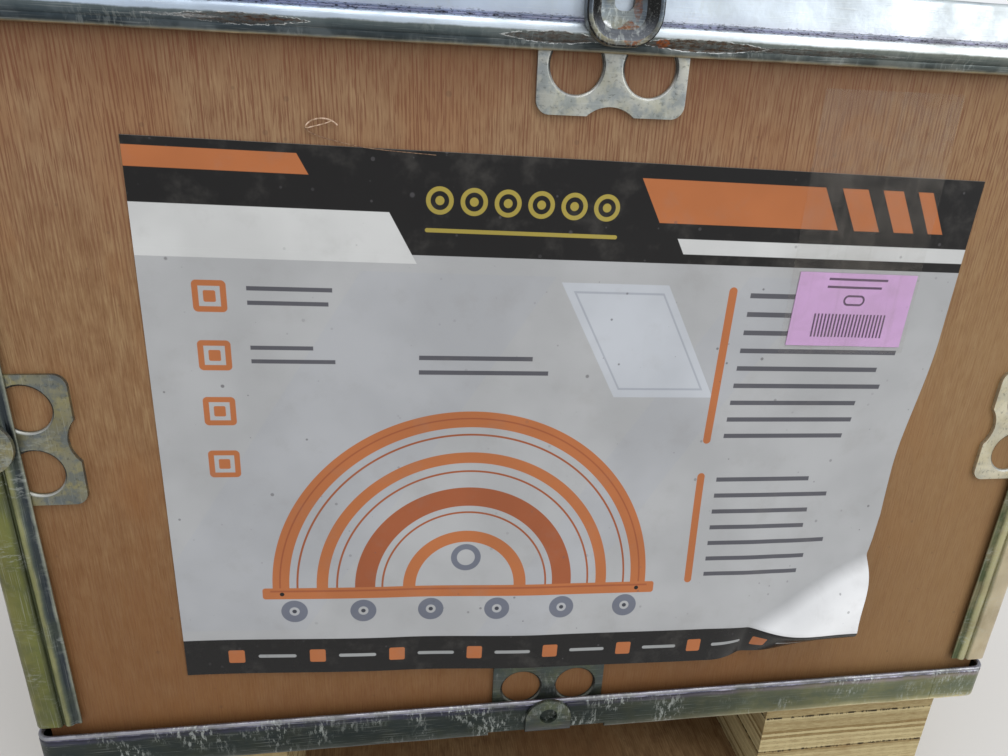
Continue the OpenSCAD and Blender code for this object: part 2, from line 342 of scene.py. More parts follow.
@cache
def repeated_place() -> Tree:
    """Place on a sheet, moved back by whole steps so that one printed shape shows a number of times.

    Returns:
        The group.
    """
    sizes = {"Vector": None, "X": 0.0, "Y": 0.0, "Step X": 1.0, "Step Y": 0.0, "Count": 1.0}
    effect = Effect("repeated place", sizes, ("Across", "Up"))
    given = effect.given
    first = effect.node("CombineXYZ", {0: given["X"], 1: given["Y"]}).outputs[0]
    step = effect.node("CombineXYZ", {0: given["Step X"], 1: given["Step Y"]}).outputs[0]
    away = effect.node("VectorMath", {0: given["Vector"], 1: first}, operation="SUBTRACT").outputs[0]
    along = effect.node("VectorMath", {0: away, 1: step}, operation="DOT_PRODUCT").outputs["Value"]
    whole = effect.node("VectorMath", {0: step, 1: step}, operation="DOT_PRODUCT").outputs["Value"]
    index = effect.math("ROUND", effect.math("DIVIDE", along, whole))
    last = effect.minus(given["Count"], 1.0)
    index = effect.math("MAXIMUM", 0.0, effect.math("MINIMUM", index, last))
    back = effect.node("VectorMath", {0: step, 3: index}, operation="SCALE").outputs[0]
    moved = effect.node("VectorMath", {0: given["Vector"], 1: back}, operation="SUBTRACT").outputs[0]
    across, up, _ = effect.axes(moved)
    return effect.give(Across=across, Up=up)


@cache
def printed_shape() -> Tree:
    """Printed slanted block, disc or ring on a sheet whose X and Y are in millimetres.

    Returns:
        The group.
    """
    sizes = {"Vector": None, "X": 0.0, "Y": 0.0, "Half X": 1.0, "Half Y": 1.0,
             "Slant": 0.0, "Round": 0.0, "Line": 1000.0}
    effect = Effect("printed shape", sizes, ("Mask",))
    given = effect.given
    x, y, _ = effect.axes(given["Vector"])
    up = effect.minus(y, given["Y"])
    over = effect.minus(effect.minus(x, given["X"]), effect.times(up, given["Slant"]))

    def beyond(offset: Value, half: Value) -> Socket:
        """How far a place is past the core of the shape."""
        core = effect.minus(half, given["Round"])
        return effect.minus(effect.math("ABSOLUTE", offset), core)

    side, rise = beyond(over, given["Half X"]), beyond(up, given["Half Y"])
    out_x, out_y = effect.math("MAXIMUM", side, 0.0), effect.math("MAXIMUM", rise, 0.0)
    round_part = effect.math("SQRT", effect.plus(effect.times(out_x, out_x), effect.times(out_y, out_y)))
    flat_part = effect.math("MINIMUM", effect.math("MAXIMUM", side, rise), 0.0)
    gap = effect.minus(effect.plus(round_part, flat_part), given["Round"])
    hollow = effect.times(effect.plus(gap, given["Line"]), -1.0)
    return effect.give(Mask=effect.span(effect.math("MAXIMUM", gap, hollow), 0.12, -0.12))


@cache
def ruled_lines() -> Tree:
    """Even ruled strokes below each other, each a little longer or shorter.

    Returns:
        The group.
    """
    sizes = {"Vector": None, "Left": 0.0, "Top": 0.0, "Pitch": 5.0, "Weight": 1.4,
             "Count": 5.0, "Length": 70.0, "Ragged": 12.0}
    effect = Effect("ruled lines", sizes, ("Mask",))
    given = effect.given
    x, y, _ = effect.axes(given["Vector"])
    row = effect.math("DIVIDE", effect.minus(given["Top"], y), given["Pitch"])
    index = effect.math("FLOOR", effect.plus(row, 0.5))
    off = effect.times(effect.apart(row, index), given["Pitch"])
    stroke = effect.minus(off, effect.times(given["Weight"], 0.5))
    seed = effect.node("CombineXYZ", {0: index, 1: given["Top"]}).outputs[0]
    short = effect.times(given["Ragged"], effect.node("TexWhiteNoise", {"Vector": seed}).outputs["Value"])
    along = effect.minus(x, given["Left"])
    half = effect.times(effect.minus(given["Length"], short), 0.5)
    ends = effect.minus(effect.apart(along, half), half)
    first = effect.minus(-0.5, index)
    last = effect.minus(index, effect.minus(given["Count"], 0.5))
    worst = effect.math("MAXIMUM", effect.math("MAXIMUM", stroke, ends), effect.math("MAXIMUM", first, last))
    return effect.give(Mask=effect.span(worst, 0.12, -0.12))


class Surface(Nodes):
    """A material with one Principled shader, and the vectors that its finish reads."""

    def __init__(self, name: str) -> None:
        """Makes the material."""
        self.material = bpy.data.materials.new(name)
        self.material.use_nodes = True
        super().__init__(self.material.node_tree)
        self.shader = self.tree.nodes["Principled BSDF"].inputs

    def solid_place(self) -> Socket:
        """Object coordinates, which are metres in the crate's frame."""
        return self.node("TexCoord").outputs["Object"]

    def own_place(self) -> Socket:
        """Place that the piece remembers from before it was folded and put on the crate."""
        return self.node("Attribute", attribute_name="place").outputs["Vector"]

    def set(self, **values: Value) -> None:
        """Feeds the shader's inputs, named with underscores for spaces."""
        for label, value in values.items():
            self.feed(self.shader[label.replace("_", " ")], value)

    def bump(self, height: Socket, strength: float, depth: float) -> None:
        """Gives the surface relief from a height map whose full range is depth metres."""
        made = self.node("Bump", {"Height": height, "Strength": strength, "Distance": depth})
        self.feed(self.shader["Normal"], made.outputs[0])


class Grain(Enum):
    """Direction that the fibres of a panel run in, as a turn that brings them onto Z."""

    UPRIGHT = (0.0, 0.0, 0.0)
    ALONG = (math.pi / 2, 0.0, 0.0)


@dataclass(frozen=True)
class Wash:
    """Change of a veneer's colour along one axis of the crate, in metres; the panels use washes to paint light
    and shade.
    """

    axis: int
    near: float
    far: float
    share: float
    colour: Colour


@dataclass(frozen=True)
class VeneerFinish:
    """Sliced reddish veneer with open pores, which are bold above the given height."""

    name: str
    grain: Grain
    dark: Colour = srgb(114, 80, 48)
    middle: Colour = srgb(135, 103, 70)
    light: Colour = srgb(155, 127, 90)
    ruddy: Colour = srgb(136, 92, 52)
    pore: Colour = srgb(104, 58, 36)
    washes: tuple[Wash, ...] = ()
    bold_from: float = 0.25

    def material(self) -> Material:
        """Builds the veneer's material.

        Returns:
            The material.
        """
        surface = Surface(self.name)
        place = surface.solid_place()
        turned = surface.scaled(place, (1, 1, 1), self.grain.value)
        figure = surface.group(wood_figure(), {"Vector": turned})
        tones = [(0.34, self.dark), (0.5, self.middle), (0.68, self.light)]
        colour = surface.ramp(figure["Tone"], tones)
        warm = surface.span(figure["Mottle"], 0.44, 0.68, 0.0, 0.6)
        colour = surface.mix(warm, colour, self.ruddy)
        parts = surface.axes(place)
        for wash in self.washes:
            wavy = surface.plus(parts[wash.axis], surface.swing(figure["Mottle"], 0.03))
            share = surface.span(wavy, wash.near, wash.far, 0.0, wash.share)
            colour = surface.mix(share, colour, wash.colour)
        bold = surface.span(parts[2], self.bold_from, self.bold_from + 0.09, 0.24, 0.84)
        colour = surface.mix(surface.times(figure["Pores"], bold), colour, self.pore)
        grains = surface.group(dust_grains(), {"Vector": place, "Scale": 140.0, "Share": 0.16})
        colour = surface.mix(surface.times(grains["Grains"], 0.25), colour, srgb(70, 50, 38))
        surface.set(Base_Color=colour, Roughness=surface.span(figure["Tone"], 0.35, 0.65, 0.72, 0.58),
                    Specular_IOR_Level=0.35)
        height = surface.minus(figure["Tone"], surface.times(figure["Pores"], 0.7))
        surface.bump(height, 0.35, 0.25 * MM)
        return surface.material


@dataclass(frozen=True)
class LaminateFinish:
    """Sawn stack of pale glued layers, each of thin plies, seen on its ends and sides."""

    name: str
    floor_z: float
    layer: float
    plies: int = 13
    pale: Colour = srgb(194, 178, 134)
    deep: Colour = srgb(134, 112, 70)
    glue: Colour = srgb(52, 40, 30)

    def material(self) -> Material:
        """Builds the laminate's material.

        Returns:
            The material.
        """
        surface = Surface(self.name)
        place = surface.solid_place()
        turned = surface.scaled(place, (1, 1, 1), Grain.ALONG.value)
        figure = surface.group(wood_figure(), {"Vector": turned})
        height = surface.minus(surface.axes(place)[2], self.floor_z)
        wobble = surface.swing(surface.stretched(place, (50, 50, 160), 3, 0.6), 1.3 * MM)
        level = surface.plus(height, wobble)
        thin = self.layer / self.plies
        index = surface.math("FLOOR", surface.math("DIVIDE", level, thin))
        each = surface.node("TexWhiteNoise", {"W": index}, noise_dimensions="1D").outputs["Value"]
        sawn = surface.stretched(place, (240, 240, 1300), 3, 0.7)
        tone = surface.plus(surface.times(each, 0.42), surface.plus(
            surface.times(sawn, 0.38), surface.times(figure["Tone"], 0.2)))
        colour = surface.ramp(tone, [(0.26, self.deep), (0.6, self.pale)])
        dotted = surface.span(surface.stretched(place, (300, 300, 60), 3, 0.75), 0.47, 0.55)
        faint = surface.span(surface.math("PINGPONG", level, thin / 2), 0.3 * MM, 0.1 * MM)
        line = surface.times(surface.times(faint, dotted), surface.span(each, 0.5, 0.9, 0.1, 0.6))
        colour = surface.mix(line, colour, srgb(104, 84, 52))
        joint = surface.math("PINGPONG", level, self.layer / 2)
        line = surface.times(surface.span(joint, 0.9 * MM, 0.4 * MM), dotted)
        colour = surface.mix(surface.times(line, 0.9), colour, self.glue)
        stain = surface.span(surface.noise(place, 26, 4, 0.6), 0.5, 0.72, 0.0, 0.5)
        colour = surface.mix(stain, colour, srgb(140, 108, 66))
        surface.set(Base_Color=colour, Roughness=0.8, Specular_IOR_Level=0.3)
        relief = surface.plus(tone, surface.times(surface.noise(place, 900, 2), 0.6))
        surface.bump(relief, 0.5, 0.5 * MM)
        return surface.material


@dataclass(frozen=True)
class Spot:
    """Worn patch on a strip, and in one place a painted highlight: its middle and reach in millimetres of the
    strip's own drawing.
    """

    x: float
    y: float
    reach_x: float
    reach_y: float
    colour: Colour
    strength: float = 0.8
    rag: float = 0.9
    rim: float = 0.0

    def worn(self, surface: Surface, place: Socket, colour: Value) -> Socket:
        """Puts the patch over a strip's colour.

        Args:
            surface: The strip's material.
            place: Place in the strip's own drawing.
            colour: Colour of the strip so far.

        Returns:
            The colour with the patch.
        """
        patch = surface.group(worn_spot(), {
            "Vector": place, "X": self.x * MM, "Y": self.y * MM, "Reach X": self.reach_x * MM,
            "Reach Y": self.reach_y * MM, "Rag": self.rag})
        streaks = surface.stretched(place, (420, 1300, 1300), 3, 0.7)
        fill = surface.times(patch["Inside"], surface.span(streaks, 0.4, 0.6, 1.0, 0.3))
        burnt = surface.span(surface.noise(place, 1100, 3, 0.7), 0.45, 0.58, 0.0, 0.75)
        tone = surface.mix(burnt, self.colour, surface.mix(0.72, self.colour, srgb(34, 30, 28)))
        colour = surface.mix(surface.times(fill, self.strength), colour, tone)
        if not self.rim:
            return colour
        broken = surface.span(surface.noise(place, 420, 3, 0.7), 0.42, 0.56, 0.05, self.rim)
        return surface.mix(surface.times(patch["Rim"], broken), colour, srgb(206, 210, 210))


@dataclass(frozen=True)
class ZincFinish:
    """Zinc-coated sheet whose tone changes across it, from its free edge to its fold.

    Bands are places in millimetres from the free edge with the tone there; on the
    strips they paint the highlights, reflections and shade across the section.
    Casts are two tints that colour the sheet from one end to the other, from a
    place along it in metres and from a distance in millimetres below its free
    edge; they paint the light and reflections that change along the strip.
    Painted underside shade is how much darker the faces that look down are painted.
    """

    name: str
    bands: Bands
    tint: Colour = srgb(120, 128, 92)
    tint_share: float = 0.3
    speckle_at: float = 0.0
    bloom: float = 0.3
    ragged: float = 0.5
    roughness: float = 0.36
    spots: tuple[Spot, ...] = ()
    casts: tuple[Colour, Colour] | None = None
    casts_from: float = -0.2
    casts_below: float = 0.0
    cool: Colour = srgb(112, 126, 138)
    cool_share: float = 0.0
    painted_underside_shade: float = 0.0

    def material(self) -> Material:
        """Builds the sheet's material.

        Returns:
            The material.
        """
        surface = Surface(self.name)
        place = surface.own_place()
        x, y, _ = surface.axes(place)
        wear = surface.group(steel_wear(), {"Vector": place})
        wave = surface.stretched(place, (130, 30, 30), 4, 0.65)
        drift = surface.swing(wave, self.ragged * 2 * MM)
        reach = self.bands[-1][0] * MM
        level = surface.math("DIVIDE", surface.plus(y, drift), reach, clamp=True)
        # painted light: the ramp of bands paints highlights, reflections and shade across the section
        colour = surface.ramp(level, [(place_mm * MM / reach, tone) for place_mm, tone in self.bands])
        tinted = surface.span(wear["Blotch"], 0.42, 0.66, 0.0, self.tint_share)
        colour = surface.mix(tinted, colour, self.tint)
        if self.cool_share:
            colour = self.cooled(surface, place, colour)
        # painted shade: faces whose normal looks down are darkened towards near black
        if self.painted_underside_shade:
            up = surface.axes(surface.node("NewGeometry").outputs["Normal"])[2]
            colour = surface.mix(surface.span(up, 0.45, 0.0, 0.0, self.painted_underside_shade), colour, srgb(34, 33, 30))
        colour = surface.shaded(colour, surface.span(surface.noise(place, 36, 3), 0.35, 0.65, 0.84, 1.1))
        # painted light: the casts tint, darken and brighten the sheet along its length
        if self.casts:
            run = surface.span(x, self.casts_from, 0.2)
            below = surface.span(y, self.casts_below * MM, (self.casts_below + 0.8) * MM)
            colour = surface.mix(below, colour, surface.mix(run, *self.casts), "MULTIPLY")
        colour = surface.mix(surface.times(wear["Scratch"], 0.22), colour, srgb(205, 208, 204))
        colour = surface.mix(surface.times(wear["Bloom"], self.bloom), colour, srgb(188, 194, 190))
        if self.speckle_at:
            colour = self.speckled(surface, place, colour, y)
        for spot in self.spots:
            colour = spot.worn(surface, place, colour)
        rough = surface.span(wear["Blotch"], 0.35, 0.7, self.roughness - 0.05, self.roughness + 0.16)
        surface.set(Base_Color=colour, Metallic=0.82, Roughness=rough)
        height = surface.plus(surface.noise(place, 420, 3, 0.6), surface.times(wear["Scratch"], 0.4))
        surface.bump(height, 0.18, 0.25 * MM)
        return surface.material

    def cooled(self, surface: Surface, place: Socket, colour: Value) -> Socket:
        """Colour with cool patches and small dark flecks over it.

        Args:
            surface: The sheet's material.
            place: Place in its own drawing.
            colour: Colour so far.

        Returns:
            The colour with the patches.
        """
        patches = surface.span(surface.noise(place, 150, 4, 0.6), 0.44, 0.6, 0.0, self.cool_share)
        colour = surface.mix(patches, colour, self.cool)
        flecks = surface.span(surface.stretched(place, (500, 700, 700), 3, 0.7), 0.55, 0.68)
        return surface.mix(surface.times(flecks, 0.45), colour, srgb(74, 76, 70))

    def speckled(self, surface: Surface, place: Socket, colour: Value, y: Socket) -> Socket:
        """Colour with a row of short dark dashes along the crease.

        Args:
            surface: The sheet's material.
            place: Place in its own drawing.
            colour: Colour so far.
            y: The place's distance from the free edge.

        Returns:
            The colour with the dashes.
        """
        off = surface.apart(y, self.speckle_at * MM)
        near = surface.span(off, 1.7 * MM, 0.1 * MM, 0.02, 1.0)
        dashes = surface.span(surface.stretched(place, (700, 2100, 2100), 2, 0.6), 0.56, 0.61)
        share = surface.times(surface.times(dashes, near), 0.9)
        return surface.mix(share, colour, srgb(30, 30, 40))


@dataclass(frozen=True)
class Mark:
    """Printed shape, in millimetres from the sheet's lower left corner.

    A shape is filled unless its line is narrow. It shows only above a height
    where one is given, and count times, a pitch apart.
    """

    x: float
    y: float
    half_x: float
    half_y: float
    colour: Colour
    slant: float = 0.0
    round: float = 0.0
    line: float = 1000.0
    above: float | None = None
    count: int = 1
    pitch: Point = (1.0, 0.0)

    @classmethod
    def disc(cls, x: float, y: float, radius: float, colour: Colour, **more: object) -> "Mark":
        """Disc, or a ring where its line is narrow."""
        return cls(x, y, radius, radius, colour, round=radius, **more)

    def mask(self, surface: Surface, sheet: Socket, height: Socket) -> Socket:
        """Where the shape is printed.

        Args:
            surface: The sheet's material.
            sheet: Place on the sheet in millimetres.
            height: The upright part of that place.

        Returns:
            A mask, 1 on the shape.
        """
        spot = sheet
        if self.count > 1:
            moved = surface.group(repeated_place(), {
                "Vector": sheet, "X": self.x, "Y": self.y, "Step X": self.pitch[0], "Step Y": self.pitch[1],
                "Count": float(self.count)})
            spot = surface.node("CombineXYZ", {0: moved["Across"], 1: moved["Up"]}).outputs[0]
        mask = surface.group(printed_shape(), {
            "Vector": spot, "X": self.x, "Y": self.y, "Half X": self.half_x, "Half Y": self.half_y,
            "Slant": self.slant, "Round": self.round, "Line": self.line})["Mask"]
        if self.above is None:
            return mask
        return surface.times(mask, surface.span(height, self.above - 0.1, self.above + 0.1))


@dataclass(frozen=True)
class Ruling:
    """Block of even ruled strokes, in millimetres from the sheet's lower left corner."""

    left: float
    top: float
    pitch: float
    weight: float
    count: int
    length: float
    colour: Colour
    ragged: float = 12.0

    def mask(self, surface: Surface, sheet: Socket) -> Socket:
        """Where the strokes are printed on a sheet in millimetres."""
        return surface.group(ruled_lines(), {
            "Vector": sheet, "Left": self.left, "Top": self.top, "Pitch": self.pitch,
            "Weight": self.weight, "Count": float(self.count), "Length": self.length,
            "Ragged": self.ragged})["Mask"]


INK = srgb(26, 25, 25)
ORANGE = srgb(172, 104, 62)
WHITE = srgb(196, 197, 196)
GREY_INK = srgb(84, 84, 90)
GOLD = srgb(158, 142, 66)
HAZE = srgb(160, 163, 170)

SEPIA = srgb(150, 84, 52)
DISC_GREY = srgb(104, 108, 120)
SLANT = -0.55
HAZE_SLANT = 0.62
ARCH_FOOT: Point = (112, 42)
ARCHES: tuple[tuple[float, float, Colour], ...] = (
    (66.8, 0.8, SEPIA), (51.4, 0.8, SEPIA), (33.6, 0.8, SEPIA), (76, 6.5, ORANGE), (73.4, 0.6, SEPIA),
    (59, 4.5, ORANGE), (44, 8.0, SEPIA), (25, 5.0, ORANGE))
LABEL_MARKS: tuple[Mark, ...] = (
    Mark(60, 96, 34, 74, HAZE, HAZE_SLANT),
    Mark(178, 92, 15, 80, HAZE, HAZE_SLANT),
    Mark(148.5, 193, 160, 17.0, INK),
    Mark(34, 181.5, 52, 8.5, WHITE, SLANT),
    Mark(24, 204, 30, 3.2, ORANGE, SLANT),
    Mark(205, 197.6, 34, 7.4, ORANGE, SLANT),
    Mark(250.5, 197.6, 5.0, 7.4, ORANGE, SLANT),
    Mark(265.5, 197.6, 4.0, 7.4, ORANGE, SLANT),
    Mark(278.5, 197.6, 3.0, 7.4, ORANGE, SLANT),
    Mark(246, 182.2, 62, 2.7, WHITE, SLANT),
    Mark.disc(98, 194.5, 4.6, GOLD, line=1.5, count=6, pitch=(11.5, 0)),
    Mark.disc(98, 194.5, 1.5, GOLD, count=6, pitch=(11.5, 0)),
    Mark(126.7, 184.6, 33.5, 0.7, GOLD, round=0.7),
    Mark(174, 146, 20, 22, srgb(182, 186, 192), SLANT),
    Mark(174, 146, 17, 19, srgb(160, 164, 172), SLANT, line=0.8),
    *(Mark.disc(*ARCH_FOOT, radius, colour, line=line, above=ARCH_FOOT[1]) for radius, line, colour in ARCHES),
    Mark(112, 39.5, 80, 2.6, ORANGE, round=1.2),
    Mark(112, 40.6, 77, 0.4, SEPIA),
    Mark.disc(39.5, 39.2, 0.9, INK, count=2, pitch=(145, 0)),
    Mark.disc(44, 31.0, 5.2, DISC_GREY, line=3.2, count=6, pitch=(27.2, 0)),
    Mark.disc(44, 31.0, 0.9, srgb(60, 62, 70), count=6, pitch=(27.2, 0)),
    Mark.disc(112, 55, 6, DISC_GREY, line=2.4),
    Mark(22, 160, 5.5, 5.5, ORANGE, round=1.6, line=2.0, count=4, pitch=(0, -21)),
    Mark(22, 160, 2.0, 2.0, ORANGE, round=0.6, count=4, pitch=(0, -21)),
    Mark(207, 136, 1.6, 32, ORANGE, round=1.6),
    Mark(207, 66, 1.6, 25, ORANGE, round=1.6),
    Mark(148.5, 8.6, 160, 8.8, INK),
    Mark(20, 8.8, 3.2, 3.2, ORANGE, round=0.8, count=8, pitch=(32.4, 0)),
    Mark(36.2, 8.8, 7.6, 0.8, srgb(150, 152, 152), round=0.8, count=8, pitch=(32.4, 0)),
)
LABEL_RULINGS: tuple[Ruling, ...] = (
    Ruling(34, 163, 5.0, 1.5, 2, 34, GREY_INK, 14),
    Ruling(34, 142, 5.0, 1.5, 2, 30, GREY_INK, 14),
    Ruling(214, 165, 7.2, 1.9, 9, 68, GREY_INK, 14),
    Ruling(214, 88, 7.2, 1.9, 7, 58, GREY_INK, 22),
    Ruling(92, 139, 5.6, 1.7, 2, 60, GREY_INK, 20),
)
TAG_INK = srgb(88, 66, 92)
TAG_MARKS: tuple[Mark, ...] = (
    Mark(24, 18.2, 4.4, 2.1, TAG_INK, round=2.1, line=0.8),
    Mark(9.5, 8.2, 0.36, 4.6, TAG_INK, count=21, pitch=(1.45, 0)),
)
TAG_RULINGS: tuple[Ruling, ...] = (Ruling(12, 26.2, 3.0, 0.9, 2, 25, TAG_INK, 6),)


@dataclass(frozen=True)
class PaintedSheen:
    """Painted sheen of light on the part of a sheet past a crease, which tilts up to the light: a place on the
    crease in millimetres, and the way past it.
    """

    place: Point
    away: Point
    soft: float
    share: float

    def amount(self, surface: Surface, across: Socket, height: Socket) -> Socket:
        """How strong the painted sheen is at a place on the sheet."""
        parts = (surface.times(surface.minus(place, start), way)
                 for place, start, way in zip((across, height), self.place, self.away))
        return surface.span(surface.plus(*parts), 0.0, self.soft, 0.0, self.share)


@dataclass(frozen=True)
class PrintFinish:
    """Printed paper with dirt specks, faint creases, a slight gloss on dark ink and a painted sheen past a
    crease.
    """

    name: str
    paper: Colour
    marks: tuple[Mark, ...]
    rulings: tuple[Ruling, ...]
    dirt: float
    roughness: float
    painted_sheen: tuple[PaintedSheen, ...] = ()

    def material(self) -> Material:
        """Builds the print's material.

        Returns:
            The material.
        """
        surface = Surface(self.name)
        place = surface.own_place()
        sheet = surface.node("VectorMath", {0: place, 3: 1000.0}, operation="SCALE").outputs[0]
        cloud = surface.span(surface.noise(place, 22, 3), 0.35, 0.65, 0.93, 1.06)
        tooth = surface.noise(place, 2600, 2)
        colour = surface.mix(surface.span(tooth, 0.3, 0.7, 0.0, 0.12), self.paper, srgb(150, 152, 156))
        across, height, _ = surface.axes(sheet)
        # painted highlight: past the crease the paper is made near white for the light it catches
        for part in self.painted_sheen:
            colour = surface.mix(part.amount(surface, across, height), colour, srgb(242, 243, 244))
        dark = 0.0
        for mark in self.marks:
            mask = mark.mask(surface, sheet, height)
            strength = surface.times(mask, 0.35) if mark.colour == HAZE else mask
            colour = surface.mix(strength, colour, mark.colour)
            if mark.colour == INK:
                dark = surface.math("MAXIMUM", dark, mask)
        for rule in self.rulings:
            colour = surface.mix(rule.mask(surface, sheet), colour, rule.colour)
        colour = surface.shaded(colour, cloud)
        smear = surface.span(surface.stretched(place, (60, 60, 60), 4, 0.65), 0.5, 0.75)
        colour = surface.mix(surface.times(smear, 0.14), colour, srgb(128, 124, 118))
        for scale, share in ((210.0, 0.17), (90.0, 0.1)):
            grains = surface.group(dust_grains(), {"Vector": place, "Scale": scale, "Share": share})["Grains"]
            patchy = surface.span(surface.noise(place, 11, 2), 0.42, 0.6, 0.25, 1.0)
            share_of = surface.times(surface.times(grains, patchy), self.dirt)
            colour = surface.mix(share_of, colour, srgb(84, 82, 84))
        rough = surface.minus(self.roughness, surface.times(dark, 0.16))
        surface.set(Base_Color=colour, Roughness=rough, Specular_IOR_Level=0.26)
        wave = surface.plus(surface.noise(place, 38, 2), surface.times(tooth, 0.05))
        surface.bump(wave, 0.25, 0.9 * MM)
        return surface.material


@dataclass(frozen=True)
class TapeFinish:
    """Clear packing tape with cloudy places where its glue hasn't wetted the sheet below."""

    name: str

    def material(self) -> Material:
        """Builds the tape's material.

        Returns:
            The material.
        """
        surface = Surface(self.name)
        place = surface.own_place()
        cloud = surface.span(surface.stretched(place, (60, 90, 60), 5, 0.65, 0.6), 0.4, 0.6)
        streak = surface.span(surface.stretched(place, (420, 14, 14), 3), 0.5, 0.7)
        haze = surface.plus(surface.times(cloud, 0.03), surface.times(streak, 0.03))
        surface.set(Base_Color=srgb(176, 168, 156), Alpha=surface.plus(haze, 0.02), Roughness=0.3)
        return surface.material


@dataclass(frozen=True)
class FibreFinish:
    """Pale sliver of wood fibre."""

    name: str
    colour: Colour

    def material(self) -> Material:
        """Builds the fibre's material.

        Returns:
            The material.
        """
        surface = Surface(self.name)
        tone = surface.noise(surface.solid_place(), 900, 2)
        surface.set(Base_Color=surface.mix(surface.span(tone, 0.3, 0.7), self.colour, srgb(150, 120, 92)),
                    Roughness=0.6)
        surface.bump(tone, 0.3, 0.05 * MM)
        return surface.material


@dataclass(frozen=True)
class FloorFinish:
    """Pale even floor with a faint tone."""

    name: str

    def material(self) -> Material:
        """Builds the floor's material.

        Returns:
            The material.
        """
        surface = Surface(self.name)
        tone = surface.noise(surface.solid_place(), 3, 3)
        surface.set(Base_Color=surface.mix(tone, srgb(205, 203, 199), srgb(213, 212, 209)), Roughness=0.85)
        return surface.material


class Part(Enum):
    """Kinds of mesh element that can be picked."""

    VERT = "VERT"
    EDGE = "EDGE"
    FACE = "FACE"


Element = bmesh.types.BMVert | bmesh.types.BMEdge | bmesh.types.BMFace


def middle(element: Element) -> Vector:
    """Middle of a vertex, edge or face.

    Args:
        element: The element.

    Returns:
        Its middle.
    """
    if isinstance(element, bmesh.types.BMVert):
        return element.co
    corners = [vert.co for vert in element.verts]
    return sum(corners, Vector()) / len(corners)


def arc(centre: Point, radius: float, start: float, end: float, steps: int) -> list[Point]:
    """Points of an arc.

    Args:
        centre: Its centre.
        radius: Its radius.
        start: Angle that it starts at, in degrees.
        end: Angle that it ends at.
        steps: Number of steps.

    Returns:
        The points, both ends included.
    """
    turns = [math.radians(start + (end - start) * i / steps) for i in range(steps + 1)]
    return [(centre[0] + radius * math.cos(a), centre[1] + radius * math.sin(a)) for a in turns]


